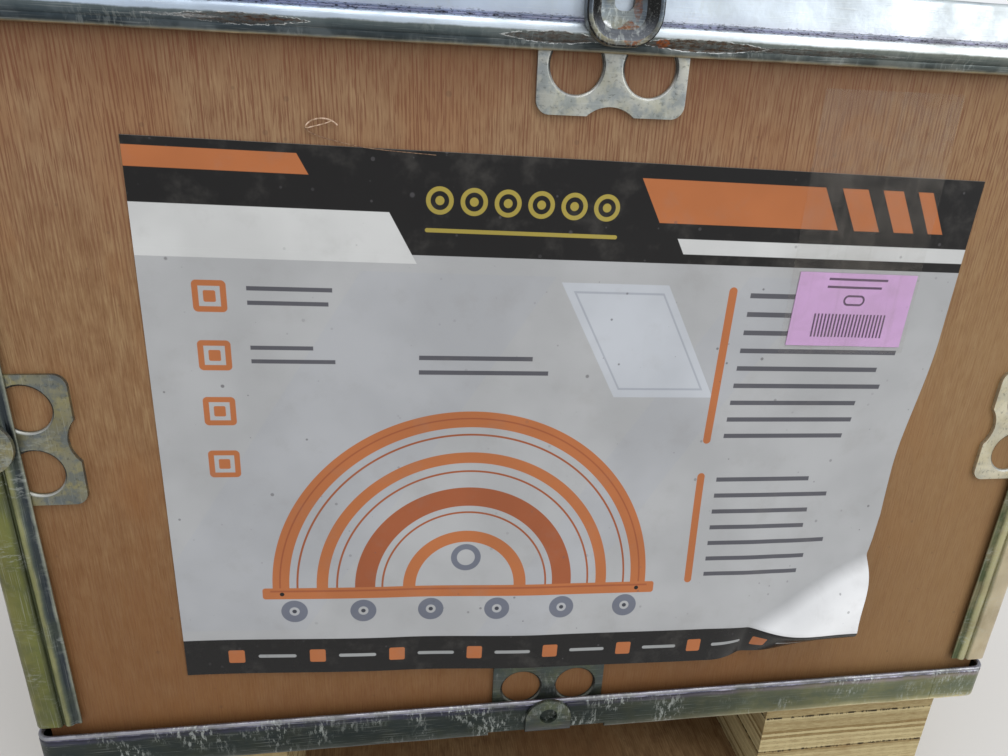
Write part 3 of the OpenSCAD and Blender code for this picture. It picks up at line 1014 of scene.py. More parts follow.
class Workpiece:
    """One mesh on the bench, shaped with edit tools and modifiers."""

    def __init__(self, name: str, scale: Sequence[float] = (1, 1, 1)) -> None:
        """Takes the object that was just added, puts its size and place in its mesh and names it.

        Args:
            name: Its name.
            scale: Its size along each axis.
        """
        self.obj = bpy.context.object
        self.obj.scale = scale
        bpy.ops.object.transform_apply(location=True, rotation=True, scale=True)
        self.obj.name = self.obj.data.name = name

    @staticmethod
    def clear_bench() -> None:
        """Leaves edit mode and deselects everything."""
        if bpy.context.object and bpy.context.object.mode == "EDIT":
            bpy.ops.object.mode_set(mode="OBJECT")
        bpy.ops.object.select_all(action="DESELECT")

    @classmethod
    def block(cls, name: str, low: Sequence[float], high: Sequence[float]) -> "Workpiece":
        """Adds a block between two corners.

        Args:
            name: Its name.
            low: Its lowest corner.
            high: Its highest corner.

        Returns:
            The workpiece.
        """
        cls.clear_bench()
        low, high = Vector(low), Vector(high)
        bpy.ops.mesh.primitive_cube_add(size=1, location=(low + high) / 2)
        return cls(name, high - low)

    @classmethod
    def folded(cls, name: str, width: float, path: Sequence[Vector]) -> "Workpiece":
        """Adds a flat strip that runs along X, and draws its end edge along a path.

        Args:
            name: Its name.
            width: Its size along X.
            path: Points of its section.

        Returns:
            The workpiece.
        """
        cls.clear_bench()
        reach = path[1] - path[0]
        bpy.ops.mesh.primitive_plane_add(
            size=1, location=(path[0] + path[1]) / 2, rotation=(math.atan2(reach.z, reach.y), 0, 0))
        piece = cls(name, (width, reach.length, 1))
        piece.pick(Part.EDGE, lambda edge: (middle(edge) - path[1]).length < 1e-5)
        for here, there in zip(path[1:], path[2:]):
            bpy.ops.mesh.extrude_edges_move(TRANSFORM_OT_translate={"value": there - here})
        return piece

    @classmethod
    def rod(cls, name: str, centre: Sequence[float], radius: float, depth: float,
            vertices: int = 48) -> "Workpiece":
        """Adds an upright round rod round a centre.

        Args:
            name: Its name.
            centre: Its middle.
            radius: Its radius.
            depth: Its height.
            vertices: Number of its sides.

        Returns:
            The workpiece.
        """
        cls.clear_bench()
        bpy.ops.mesh.primitive_cylinder_add(vertices=vertices, radius=radius, depth=depth, location=centre)
        return cls(name)

    @classmethod
    def grid(cls, name: str, width: float, height: float, cell: float) -> "Workpiece":
        """Adds a flat grid with its lower left corner at the origin.

        Args:
            name: Its name.
            width: Its size along X.
            height: Its size along Y.
            cell: Size of a cell.

        Returns:
            The workpiece.
        """
        cls.clear_bench()
        bpy.ops.mesh.primitive_grid_add(
            x_subdivisions=round(width / cell), y_subdivisions=round(height / cell), size=1,
            location=(width / 2, height / 2, 0))
        return cls(name, (width, height, 1))

    def hold(self) -> None:
        """Makes this the only selected object and the active one."""
        self.clear_bench()
        self.obj.select_set(True)
        bpy.context.view_layer.objects.active = self.obj

    def pick(self, part: Part, test: Callable[[Element], bool]) -> int:
        """Selects, in edit mode, the elements that pass a test.

        Args:
            part: Kind of element.
            test: What an element has to pass.

        Returns:
            How many were selected.
        """
        if bpy.context.object is not self.obj or self.obj.mode != "EDIT":
            self.hold()
            bpy.ops.object.mode_set(mode="EDIT")
        bpy.ops.mesh.select_mode(type=part.value)
        bpy.ops.mesh.select_all(action="DESELECT")
        mesh = self.mesh()
        elements = {Part.VERT: mesh.verts, Part.EDGE: mesh.edges, Part.FACE: mesh.faces}[part]
        picked = [element for element in elements if test(element)]
        for element in picked:
            element.select_set(True)
        bmesh.update_edit_mesh(self.obj.data)
        return len(picked)

    def mesh(self) -> bmesh.types.BMesh:
        """The mesh that is being edited."""
        return bmesh.from_edit_mesh(self.obj.data)

    def modify(self, kind: str, **settings: object) -> None:
        """Adds a modifier with the given settings and applies it.

        Args:
            kind: The modifier's type.
            settings: Its properties.
        """
        self.hold()
        made = self.obj.modifiers.new(kind.title(), kind)
        for key, value in settings.items():
            setattr(made, key, value)
        bpy.ops.object.modifier_apply(modifier=made.name)

    def cut(self, tool: "Workpiece", operation: str = "DIFFERENCE") -> None:
        """Cuts with, keeps within or joins another workpiece, which is used up."""
        self.modify("BOOLEAN", object=tool.obj, operation=operation, solver="EXACT")
        bpy.data.objects.remove(tool.obj)

    def cut_across(self, place: float) -> None:
        """Cuts the whole mesh across its length at one place."""
        self.pick(Part.FACE, lambda face: True)
        bpy.ops.mesh.bisect(plane_co=(place, 0, 0), plane_no=(1, 0, 0))

    def divide_lengthwise(self, spacing: float) -> None:
        """Subdivides the edges that run along X until none is longer than the spacing.

        Args:
            spacing: The longest that an edge may be.
        """
        spans: dict[tuple[float, float], int] = {}
        self.pick(Part.EDGE, lambda edge: False)
        for edge in self.mesh().edges:
            a, b = sorted(vert.co.x for vert in edge.verts)
            if b - a > spacing * 1.01:
                spans[round(a, 6), round(b, 6)] = math.ceil((b - a) / spacing) - 1
        for (low, high), cuts in spans.items():
            self.pick(Part.EDGE, lambda edge: low - 1e-5 < middle(edge).x < high + 1e-5 and abs(
                abs(edge.verts[0].co.x - edge.verts[1].co.x) - (high - low)) < 1e-5)
            bpy.ops.mesh.subdivide(number_cuts=cuts, quadcorner="STRAIGHT_CUT")

    def move(self, shift: Callable[[Vector], Vector]) -> None:
        """Moves each vertex by given rules, as a sculpting stroke does."""
        self.hold()
        for vert in self.obj.data.vertices:
            vert.co += shift(vert.co)

    def face_out(self, probe: Callable[[Vector], bool], outward: Vector) -> None:
        """Makes the normals agree, with those of the probed faces outward.

        Args:
            probe: Test of a face's middle.
            outward: Way that it should face.
        """
        self.pick(Part.FACE, lambda face: True)
        bpy.ops.mesh.normals_make_consistent(inside=False)
        found = sum(face.normal.dot(outward) * face.calc_area()
                    for face in self.mesh().faces if probe(middle(face)))
        if found < 0:
            bpy.ops.mesh.flip_normals()
        self.hold()

    def remember(self, place: Callable[[Vector], Sequence[float]]) -> None:
        """Stores each vertex's place in the piece's own drawing, for its finish.

        Args:
            place: Place in the drawing for a place on the bench.
        """
        self.hold()
        layer = self.obj.data.attributes.new("place", "FLOAT_VECTOR", "POINT")
        flat = [value for vert in self.obj.data.vertices for value in place(vert.co)]
        layer.data.foreach_set("vector", flat)

    def smooth(self, angle: float = 35.0) -> None:
        """Shades the faces smooth, except across edges sharper than the angle in degrees."""
        self.hold()
        bpy.ops.object.shade_smooth_by_angle(angle=math.radians(angle))

    def set_down(self, matrix: Matrix) -> "Workpiece":
        """Puts the piece at its place on the crate, with its place in its mesh.

        Args:
            matrix: Its place on the crate.

        Returns:
            The same workpiece.
        """
        self.hold()
        self.obj.matrix_world = matrix
        bpy.ops.object.transform_apply(location=True, rotation=True, scale=True)
        return self

    def copied(self, name: str) -> "Workpiece":
        """Copy with a mesh of its own.

        Args:
            name: Name of the copy.

        Returns:
            The copy.
        """
        self.hold()
        bpy.ops.object.duplicate()
        return Workpiece(name)

    def joined(self, others: Iterable["Workpiece"]) -> None:
        """Joins other workpieces into this one.

        Args:
            others: Workpieces that become part of this one.
        """
        self.hold()
        for other in others:
            other.obj.select_set(True)
        bpy.ops.object.join()

    def part_edges(self) -> None:
        """Marks the faces that slant, which are the rounded edges, for a finish of their own."""
        self.hold()
        for face in self.obj.data.polygons:
            face.material_index = int(0.2 < face.normal.z < 0.94)

    def dress(self, material: Material, slot: str, *nodes: str, edges: Material | None = None) -> None:
        """Gives the piece its finish, lets it ride on the crate and stand for its solids.

        Args:
            material: Finish of the piece.
            slot: The record's material slot; not used.
            nodes: Solids that the piece stands for.
            edges: Finish of the edges that part_edges marked.
        """
        self.hold()
        for finish in (material, edges):
            if finish:
                self.obj.data.materials.append(finish)
        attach(self.obj, "root")
        if nodes:
            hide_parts(*nodes)
        LOG.info("%s: %d faces, %s", self.obj.name, len(self.obj.data.polygons), material.name)


class Side(Enum):
    """Sides of the crate, as turns of the front about the upright axis in degrees."""

    FRONT = 0
    RIGHT = 90
    REAR = 180
    LEFT = 270


@dataclass(frozen=True)
class CrateFaces:
    """Planes of the plywood and heights of the steel edges, in metres, from the solids."""

    x: float
    y: float
    low: float
    high: float

    @classmethod
    def measured(cls) -> "CrateFaces":
        """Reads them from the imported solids."""
        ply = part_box("base_panel")[1]
        return cls(ply.x, ply.y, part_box("base_rim_front")[0].z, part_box("lid_rim_front")[1].z)

    def on(self, side: Side) -> Matrix:
        """Carries a drawing, x along a side, y up and z outward, onto that side.

        Args:
            side: Side of the crate.

        Returns:
            The matrix.
        """
        out = self.y if side in (Side.FRONT, Side.REAR) else self.x
        turn = Matrix.Rotation(math.radians(side.value), 4, "Z")
        return turn @ Matrix.Translation((0, -out, 0)) @ Matrix.Rotation(math.pi / 2, 4, "X")

    def edge(self, side: Side, top: bool, x: float = 0.0) -> Matrix:
        """Carries a drawing, y inward from an edge, onto a side's top or bottom edge.

        Args:
            side: Side of the crate.
            top: Whether it is the top edge, where the drawing is turned half round.
            x: Place along the side, as seen from outside.

        Returns:
            The matrix.
        """
        spin = Matrix.Rotation(math.pi if top else 0.0, 4, "Z")
        return self.on(side) @ Matrix.Translation((x, self.high if top else self.low, 0)) @ spin

    def place_of(self, node: str, side: Side) -> Vector:
        """Middle of a solid, in the drawing of one side."""
        low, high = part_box(node)
        return self.on(side).inverted() @ ((low + high) / 2)


FACES = CrateFaces.measured()
RIM_PROUD = 5 * MM
POST_PROUD = 3.9 * MM
CRATE_CORNER = 6 * MM
HEM_BACK = 2.5 * MM
SLOT_OVERRUN = 0.3 * MM
END_ROLLED, SIDE_ROLLED = 193.4 * MM, 1107.9 * MM
END_SEAM = 189 * MM
SIDE_CLIPS = 5
SIDE_PITCH = 2 * (FACES.y + RIM_PROUD) / SIDE_CLIPS
SIDE_PLACES = [(i - (SIDE_CLIPS - 1) / 2) * SIDE_PITCH for i in range(SIDE_CLIPS)]


@dataclass(frozen=True)
class Dent:
    """Pressed place on a strip: its middle, reaches and depth in metres of the strip's own drawing."""

    x: float
    y: float
    reach_x: float
    reach_y: float
    depth: float


@dataclass
class FoldedStrip:
    """Strip of thin sheet folded to a section that runs along X.

    A section's points are (y, depth): y inward from the crate's edge and depth
    inward from the strip's own face.
    """

    name: str
    width: float
    length: float
    slots: Sequence[float]
    proud: float
    sink: float
    rib_width: float
    rib_rise: float
    hem: float
    wall: float
    spacing: float = 3 * MM
    slot_width: float = 54 * MM
    slot_depth: float = 2.6 * MM

    def leg(self) -> list[Point]:
        """Flat, crease, round rib and hem of one leg, from its fold to its free edge.

        Returns:
            Its points.
        """
        crease = 0.9 * MM
        rib = self.width - HEM_BACK - self.rib_width
        radius = (self.rib_width ** 2 / 4 + self.rib_rise ** 2) / (2 * self.rib_rise)
        half = math.degrees(math.asin(self.rib_width / 2 / radius))
        top = (rib + self.rib_width / 2, self.sink + radius - self.rib_rise)
        return [
            (rib - crease, 0), (rib - 0.7 * crease, 0.15 * self.sink), (rib - 0.3 * crease, 0.9 * self.sink),
            *arc(top, radius, 270 - half, 270 + half, 12),
            *arc((self.width - self.hem, self.sink + self.hem), self.hem, -90, 90, 6),
            (self.width - HEM_BACK, self.sink + 2 * self.hem),
        ]

    def section(self) -> list[Point]:
        """Whole section of the strip."""
        raise NotImplementedError

    def free_edge(self, co: Vector) -> float:
        """Distance of a place from the strip's free edge."""
        raise NotImplementedError

    def fold(self) -> Workpiece:
        """Folds the sheet to its section, cuts its slots and divides it along its length.

        Returns:
            The workpiece.
        """
        points = [Vector((0, y, self.proud - depth)) for y, depth in self.section()]
        piece = Workpiece.folded(self.name, self.length, points)
        half = self.slot_width / 2
        for slot in self.slots:
            piece.cut_across(slot - half)
            piece.cut_across(slot + half)
            piece.pick(Part.FACE, lambda face: abs(middle(face).x - slot) < half and self.in_slot(middle(face)))
            bpy.ops.mesh.delete(type="FACE")
        self.trim(piece)
        piece.divide_lengthwise(self.spacing)
        self.turn_corners(piece)
        piece.pick(Part.VERT, lambda vert: True)
        bpy.ops.mesh.remove_doubles(threshold=0.01 * MM)
        piece.face_out(lambda co: co.z > self.proud - 0.1 * MM, Vector((0, 0, 1)))
        return piece

    def in_slot(self, co: Vector) -> bool:
        """Whether a place is within the depth of a tongue's slot."""
        return co.y < self.slot_depth and co.z > -SLOT_OVERRUN

    def trim(self, piece: Workpiece) -> None:
        """Shapes the ends of the folded sheet; plain strips need nothing."""

    def turn_corners(self, piece: Workpiece) -> None:
        """Bends the strip's ends round the crate's corners; straight strips need nothing."""

    def build(self, matrix: Matrix, dents: Sequence[Dent] = ()) -> Workpiece:
        """Models the strip and puts it on the crate.

        Args:
            matrix: Its place.
            dents: Its pressed places.

        Returns:
            The finished workpiece.
        """
        piece = self.fold()

        def pressed(co: Vector) -> Vector:
            """Shift of a vertex by the dents that it lies in.

            Args:
                co: Place of the vertex.

            Returns:
                The shift.
            """
            shift = Vector()
            for dent in dents:
                far = ((co.x - dent.x) / dent.reach_x) ** 2 + ((co.y - dent.y) / dent.reach_y) ** 2
                if far < 1 and co.z > self.proud - self.sink - 0.2 * MM:
                    shift.z -= dent.depth * (1 - far) ** 2
            return shift

        piece.move(pressed)
        waves = bpy.data.textures.new(self.name + "_waves", "CLOUDS")
        waves.noise_scale = 0.02
        piece.modify("DISPLACE", texture=waves, strength=0.35 * MM, mid_level=0.5)
        bpy.data.textures.remove(waves)
        piece.modify("SOLIDIFY", thickness=self.wall, offset=-1, use_even_offset=True)
        piece.remember(lambda co: (co.x, self.free_edge(co), co.z))
        piece.smooth(40)
        return piece.set_down(matrix)


@dataclass
class Rim(FoldedStrip):
    """Strip along the crate's top or bottom edge, with a flange over the lid or under the base."""

    flange: float = 20 * MM
    bent: bool = False
    fold_radius: float = 1.6 * MM

    def section(self) -> list[Point]:
        """Flange, fold and leg."""
        centre = (self.fold_radius, self.fold_radius)
        return [(0, self.flange), (0, CRATE_CORNER), (0, self.proud + SLOT_OVERRUN),
                *arc(centre, self.fold_radius, 180, 270, 5), (self.slot_depth, 0), *self.leg()]

    def free_edge(self, co: Vector) -> float:
        """Distance from the free edge, over the fold for a place on the flange."""
        return self.width - co.y + max(0.0, self.proud - self.sink - co.z if co.y < 1.2 * MM else 0.0)

    def turn_corners(self, piece: Workpiece) -> None:
        """Spins the face of a bent strip round both corners and fills out its flange.

        Args:
            piece: The folded strip.
        """
        if not self.bent:
            return
        axis_z = self.proud - CRATE_CORNER
        for side in (-1, 1):
            end = side * self.length / 2

            def at_end(edge: Element) -> bool:
                """Whether an edge is on this end's border."""
                return all(abs(vert.co.x - end) < 0.01 * MM for vert in edge.verts)

            piece.pick(Part.EDGE, lambda edge: at_end(edge) and middle(edge).z > axis_z)
            bpy.ops.mesh.spin(steps=8, angle=-side * math.pi / 2, center=(end, 0, axis_z), axis=(0, 1, 0))
            piece.pick(Part.EDGE, lambda edge: at_end(edge) and middle(edge).z < axis_z)
            bpy.ops.mesh.extrude_edges_move(TRANSFORM_OT_translate={"value": (side * CRATE_CORNER, 0, 0)})


@dataclass
class LidRim(Rim):
    """Strip over the lid, with a rolled edge between the posts and a plain lip past them."""

    rolled: float = 0.0

    def trim(self, piece: Workpiece) -> None:
        """Flattens the rolled edge to a plain lip where the strip passes the posts.

        Args:
            piece: The folded strip.
        """
        blend = 2 * MM
        for side in (-1, 1):
            piece.cut_across(side * self.rolled)
            piece.cut_across(side * (self.rolled + blend))
        hem_back = self.proud - self.sink - self.hem - 0.05 * MM
        piece.pick(Part.FACE, lambda face: abs(middle(face).x) > self.rolled and middle(face).z < hem_back
                   and middle(face).y > self.width / 2)
        bpy.ops.mesh.delete(type="FACE")
        piece.pick(Part.VERT, lambda vert: abs(vert.co.x) > self.rolled + blend - 0.01 * MM
                   and vert.co.y > self.slot_depth)
        bpy.ops.transform.resize(value=(1, 1, 0), center_override=(0, 0, self.proud))


@dataclass
class BaseRim(Rim):
    """Strip under the base, flat up to a bead along its free edge, which runs on round the corners."""

    seam: float | None = None

    def leg(self) -> list[Point]:
        """Flat, fine crease and bead, from the strip's fold to its free edge."""
        centre = (self.width - self.hem, self.hem)
        return [(centre[0] - 1.2 * MM, 0), (centre[0] - 0.8 * MM, 0.4 * MM),
                *arc(centre, self.hem, -125, 90, 9), (self.width - HEM_BACK, 2 * self.hem)]

    def trim(self, piece: Workpiece) -> None:
        """Presses a fine groove into the flat where the strip's two ends meet.

        Args:
            piece: The folded strip.
        """
        if self.seam is None:
            return
        for offset in (-0.35, 0, 0.35):
            piece.cut_across(self.seam + offset * MM)
        piece.pick(Part.VERT, lambda vert: abs(vert.co.x - self.seam) < 0.05 * MM
                   and vert.co.z > self.proud - 0.1 * MM and vert.co.y < self.width - 2 * self.hem)
        bpy.ops.transform.translate(value=(0, 0, -0.45 * MM))


@dataclass
class Post(FoldedStrip):
    """Corner strip with a rolled leg on each side of the corner."""

    fold_radius: float = 3.5 * MM

    def section(self) -> list[Point]:
        """Leg, rounded corner and leg.

        Returns:
            Its points.
        """
        leg = self.leg()
        centre = (self.fold_radius, self.fold_radius)
        return [*((depth, y) for y, depth in reversed(leg)), (0, self.proud + SLOT_OVERRUN),
                *arc(centre, self.fold_radius, 180, 270, 8), *leg]

    def free_edge(self, co: Vector) -> float:
        """Distance from the free edge of the leg that the place is on."""
        return self.width - max(co.y, self.proud - co.z)


@dataclass
class Clip:
    """Stamped clip with two eyes, whose tongue comes out through a slot and back over the strip."""

    strip_width: float
    proud: float
    lift: float = 0.0
    thick: float = 1.5 * MM
    width: float = 50 * MM
    reach_past: float = 18.8 * MM
    eye: float = 8.6 * MM
    eye_pitch: float = 24.5 * MM
    corner: float = 4.5 * MM
    waist: float = 12 * MM
    waist_depth: float = 3.1 * MM
    tongue_width: float = 20.6 * MM
    fold_in: float = 1.6 * MM

    def plate(self, name: str) -> Workpiece:
        """Cuts the plate's outline, waist and eyes.

        Args:
            name: Its name.

        Returns:
            The workpiece.
        """
        near, far = self.strip_width - 8 * MM, self.strip_width + self.reach_past
        half = self.width / 2
        piece = Workpiece.block(name, (-half, near, 0), (half, far, self.thick))
        piece.pick(Part.EDGE, lambda edge: abs(edge.verts[0].co.z - edge.verts[1].co.z) > self.thick / 2)
        bpy.ops.mesh.bevel(offset=self.corner, segments=7, affect="EDGES")
        middle_y = far + self.waist - self.waist_depth
        piece.cut(Workpiece.rod(name + "_waist", (0, middle_y, 0), self.waist, 0.01, 72))
        for side in (-1, 1):
            piece.cut(self.eye_punch(name, side * self.eye_pitch / 2))
        return piece

    def eye_punch(self, name: str, x: float) -> Workpiece:
        """Punch that cuts an eye and rounds its front edge.

        Args:
            name: The clip's name.
            x: Place of the eye.

        Returns:
            The workpiece.
        """
        soft = 1.2 * MM
        low, straight = -MM, self.thick - soft
        tool = Workpiece.rod(name + "_eye", (x, self.strip_width + 3.8 * MM, (low + straight) / 2),
                             self.eye, straight - low, 56)
        radius, height = self.eye, straight
        for step in range(1, 6):
            turn = math.radians(18 * step)
            wider, higher = self.eye + soft * (1 - math.cos(turn)), straight + soft * math.sin(turn)
            self.grow(tool, wider / radius, higher - height)
            radius, height = wider, higher
        self.grow(tool, 1.1, MM)
        return tool

    @staticmethod
    def grow(tool: Workpiece, ratio: float, rise: float) -> None:
        """Extrudes the top of a punch upward and widens it.

        Args:
            tool: The punch.
            ratio: How many times wider it gets.
            rise: How far up.
        """
        top = max(corner[2] for corner in tool.obj.bound_box)
        tool.pick(Part.FACE, lambda face: face.normal.z > 0.9 and middle(face).z > top - 1e-6)
        bpy.ops.mesh.extrude_region_move(TRANSFORM_OT_translate={"value": (0, 0, rise)})
        middles = [middle(face) for face in tool.mesh().faces if face.select]
        bpy.ops.transform.resize(value=(ratio, ratio, 1), center_override=middles[0])

    def tongue_path(self) -> list[Point]:
        """Middle of the folded tongue, seen from the side: y inward and z outward.

        Returns:
            Its points.
        """
        mid = self.thick / 2
        bend = 0.6 * MM + mid
        back = self.proud + 0.05 * MM + mid
        turn, reach, steps = self.fold_in + mid + bend, self.reach(), 10
        return [(self.strip_width - 7 * MM, mid), *arc((turn, mid + bend), bend, 270, 180, 6),
                *arc((turn, back - bend), bend, 180, 90, 6),
                *((turn + (reach - turn) * i / steps,
                   back + self.lift * math.sin(math.pi / 2 * i / steps)) for i in range(1, steps + 1))]

    def reach(self) -> float:
        """Place of the tongue's end, inward from the edge."""
        return min(19.6 * MM, self.strip_width - 0.1 * MM)

    def tongue(self, name: str) -> Workpiece:
        """Bends the tongue, and cuts its round end and its hole.

        Args:
            name: Its name.

        Returns:
            The workpiece.
        """
        path = [Vector((0, y, z)) for y, z in self.tongue_path()]
        half = self.tongue_width / 2
        piece = Workpiece.folded(name, self.tongue_width, path)
        piece.face_out(lambda co: co.z > self.proud, Vector((0, 0, 1)))
        piece.modify("SOLIDIFY", thickness=self.thick, offset=0, use_even_offset=True)
        end = self.reach()
        top = self.proud + self.lift + 3 * MM
        mould = Workpiece.block(name + "_mould", (-half, -MM, -MM), (half, end, top))
        mould.pick(Part.EDGE, lambda edge: middle(edge).y > end - 1e-5 and abs(middle(edge).x) > half - 1e-5)
        bpy.ops.mesh.bevel(offset=half * 0.999, segments=14, affect="EDGES")
        piece.cut(mould, "INTERSECT")
        hole = (0, end - 8.6 * MM, self.proud + 5 * MM)
        piece.cut(Workpiece.rod(name + "_hole", hole, 4 * MM, 10 * MM, 40))
        return piece

    def build(self, name: str) -> Workpiece:
        """Models the whole clip, x along the crate's edge and y inward from it.

        Args:
            name: Its name.

        Returns:
            The workpiece.
        """
        piece = self.plate(name)
        piece.cut(self.tongue(name + "_tongue"), "UNION")
        piece.modify("BEVEL", width=0.36 * MM, segments=3, limit_method="ANGLE", angle_limit=math.radians(40))
        piece.part_edges()
        piece.remember(lambda co: (co.x, co.y, co.z))
        piece.smooth(40)
        return piece


@dataclass
class BentClip(Clip):
    """Clip whose tongue was driven over too far, so that it stands open like a deep cup."""

    tongue_width: float = 24.4 * MM
    rings: tuple[Point, ...] = ((1.3, 0.3), (1.0, -0.5), (1.3, -1.9), (1.4, -0.7))

    def tongue(self, name: str) -> Workpiece:
        """Bends the tongue and works its end into a cup with a thick rim, ring by ring inward and down.

        Args:
            name: Its name.

        Returns:
            The workpiece.
        """
        half, end = self.tongue_width / 2, 19.7 * MM
        back, front = self.proud + 0.1 * MM, self.proud + 4.6 * MM
        cup = Workpiece.block(name, (-half, -0.4 * MM, back), (half, end, front))
        cup.pick(Part.EDGE, lambda edge: middle(edge).y > end - 1e-5 and abs(middle(edge).x) > half - 1e-5)
        bpy.ops.mesh.bevel(offset=9.5 * MM, segments=6, affect="EDGES")
        cup.pick(Part.EDGE, lambda edge: middle(edge).y < 0 and abs(middle(edge).x) > half - 1e-5)
        bpy.ops.mesh.bevel(offset=7.0 * MM, segments=6, affect="EDGES")
        for inward, up in self.rings:
            fronts = (face.calc_area() for face in cup.mesh().faces if face.normal.z > 0.9)
            widest = 0.99 * max(fronts)
            cup.pick(Part.FACE, lambda face: face.normal.z > 0.9 and face.calc_area() > widest)
            bpy.ops.mesh.inset(thickness=inward * MM, depth=up * MM, use_even_offset=True)
        cup.modify("BEVEL", width=0.45 * MM, segments=3, limit_method="ANGLE", angle_limit=math.radians(35))
        hole = Workpiece.block(name + "_hole", (-3.2 * MM, 2.5 * MM, 0), (3.2 * MM, 9.6 * MM, 0.02))
        hole.pick(Part.EDGE, lambda edge: abs(edge.verts[0].co.z - edge.verts[1].co.z) > MM)
        bpy.ops.mesh.bevel(offset=2.4 * MM, segments=6, affect="EDGES")
        cup.cut(hole)
        side = 12 * MM
        stem = Workpiece.block(name + "_stem", (-side, 0.1 * MM, 0),
                               (side, self.strip_width - 6 * MM, self.thick))
        riser = Workpiece.block(name + "_riser", (-side, 0, 0.2 * MM), (side, self.thick, self.proud + MM))
        stem.cut(riser, "UNION")
        cup.cut(stem, "UNION")
        return cup


def smoothly(value: float) -> float:
    """Rises from 0 to 1 with level ends."""
    held = min(max(value, 0.0), 1.0)
    return held * held * (3 - 2 * held)


def rolled(distance: float, radius: float, most: float) -> Point:
    """Place on a sheet that leaves its plane round a roller and goes on straight.

    Args:
        distance: Distance past the crease, on the flat sheet.
        radius: The roller's radius.
        most: Angle at which the sheet leaves the roller, in radians.

    Returns:
        Distance along the plane and height above it.
    """
    if distance <= 0 or most <= 0:
        return distance, 0.0
    angle = min(distance / radius, most)
    rest = distance - radius * angle
    return (radius * math.sin(angle) + rest * math.cos(angle),
            radius * (1 - math.cos(angle)) + rest * math.sin(angle))


CREASE: Point = (236, 16)
PAST_CREASE: Point = (0.497, -0.868)


@dataclass
class Sheet:
    """Flat sheet that leans a little on the front end, and how far off the plywood it starts."""

    width: float
    height: float
    middle_x: float
    middle_z: float
    lean: float
    off: float

    def matrix(self) -> Matrix:
        """Carries the sheet's drawing onto the front end."""
        return (FACES.on(Side.FRONT) @ Matrix.Translation((self.middle_x, self.middle_z, 0))
                @ Matrix.Rotation(math.radians(self.lean), 4, "Z")
                @ Matrix.Translation((-self.width / 2, -self.height / 2, self.off)))


@dataclass
class Label(Sheet):
    """Printed sheet on the front end, buckled along its bottom edge, with its lower right corner lifted.

    The places of the bulge, the crease and the bend are in millimetres of the
    sheet's own drawing. The lower edge bends back at a height, by a turn in
    degrees that grows from a place along the sheet.
    """

    width: float = 297 * MM
    height: float = 210 * MM
    middle_x: float = -4 * MM
    middle_z: float = 222.3 * MM
    lean: float = -1.16
    off: float = 0.05 * MM
    thick: float = 0.32 * MM
    bulge: tuple[Point, ...] = ((0, 0.2), (86, 3.6), (147, 6.6), (216, 7.6), (234, 8.0), (250, 7.5), (297, 4.4))
    corner_lift: float = 10.5
    bend: float = 18
    bend_turn: float = 46
    bend_radius: float = 5
    bend_from: float = 222
    bend_blend: float = 30

    def rise(self, x: float, y: float) -> float:
        """Height of the sheet over the plywood above its bend: the buckle and the lifted corner.

        Args:
            x: Place across the sheet.
            y: Place up the sheet.

        Returns:
            The height in millimetres.
        """
        buckle = 0.0
        for (x0, h0), (x1, h1) in zip(self.bulge, self.bulge[1:]):
            if x0 <= x <= x1:
                buckle = h0 + (h1 - h0) * smoothly((x - x0) / (x1 - x0))
        past = (x - CREASE[0]) * PAST_CREASE[0] + (y - CREASE[1]) * PAST_CREASE[1]
        corner = self.corner_lift * (1 - math.exp(-past * past / (past + 2) / 5.5)) if past > 0 else 0.0
        return buckle * (1 - smoothly(y / 110)) + corner

    @staticmethod
    def drawn_in(x: float, y: float) -> float:
        """How far the buckled right edge is drawn inward.

        Args:
            x: Place across the sheet.
            y: Place up the sheet.

        Returns:
            The distance in millimetres.
        """
        drawn = 5 * smoothly((150 - y) / 60) * smoothly((x - 200) / 97)
        drawn += 5 * smoothly((60 - y) / 40) * smoothly((x - 240) / 57)
        return drawn + 1.8 * math.sin(math.pi * min(max((y - 4) / 66, 0.0), 1.0)) * smoothly((x - 250) / 47)

    def curl(self, co: Vector) -> Vector:
        """Shift that buckles the sheet, lifts its corner and bends the edge below it back to the plywood.

        Args:
            co: Place on the flat sheet.

        Returns:
            The shift.
        """
        x, y = co.x / MM, co.y / MM
        grown = 1 - math.exp(-(max(x - self.bend_from, 0.0) / self.bend_blend) ** 2)
        along, down = rolled(self.bend - y, self.bend_radius, math.radians(self.bend_turn) * grown)
        height = self.rise(x, max(y, self.bend)) - max(down, 0.0)
        return Vector((-self.drawn_in(x, y) * MM, (self.bend - along - y) * MM, (max(height, 0.0) + 0.35) * MM))

    def build(self, finish: PrintFinish) -> Workpiece:
        """Models the sheet and prints it.

        Args:
            finish: Its finish.

        Returns:
            The workpiece.
        """
        piece = Workpiece.grid("printed_label", self.width, self.height, 2 * MM)
        piece.pick(Part.FACE, lambda face: middle(face).x > 206 * MM and middle(face).y < 64 * MM)
        bpy.ops.mesh.subdivide(number_cuts=1)
        piece.remember(lambda co: tuple(co))
        piece.move(self.curl)
        piece.modify("SOLIDIFY", thickness=self.thick, offset=-1)
        piece.smooth(50)
        piece.set_down(self.matrix())
        piece.dress(finish.material(), "label_paper", "label_sheet")
        return piece


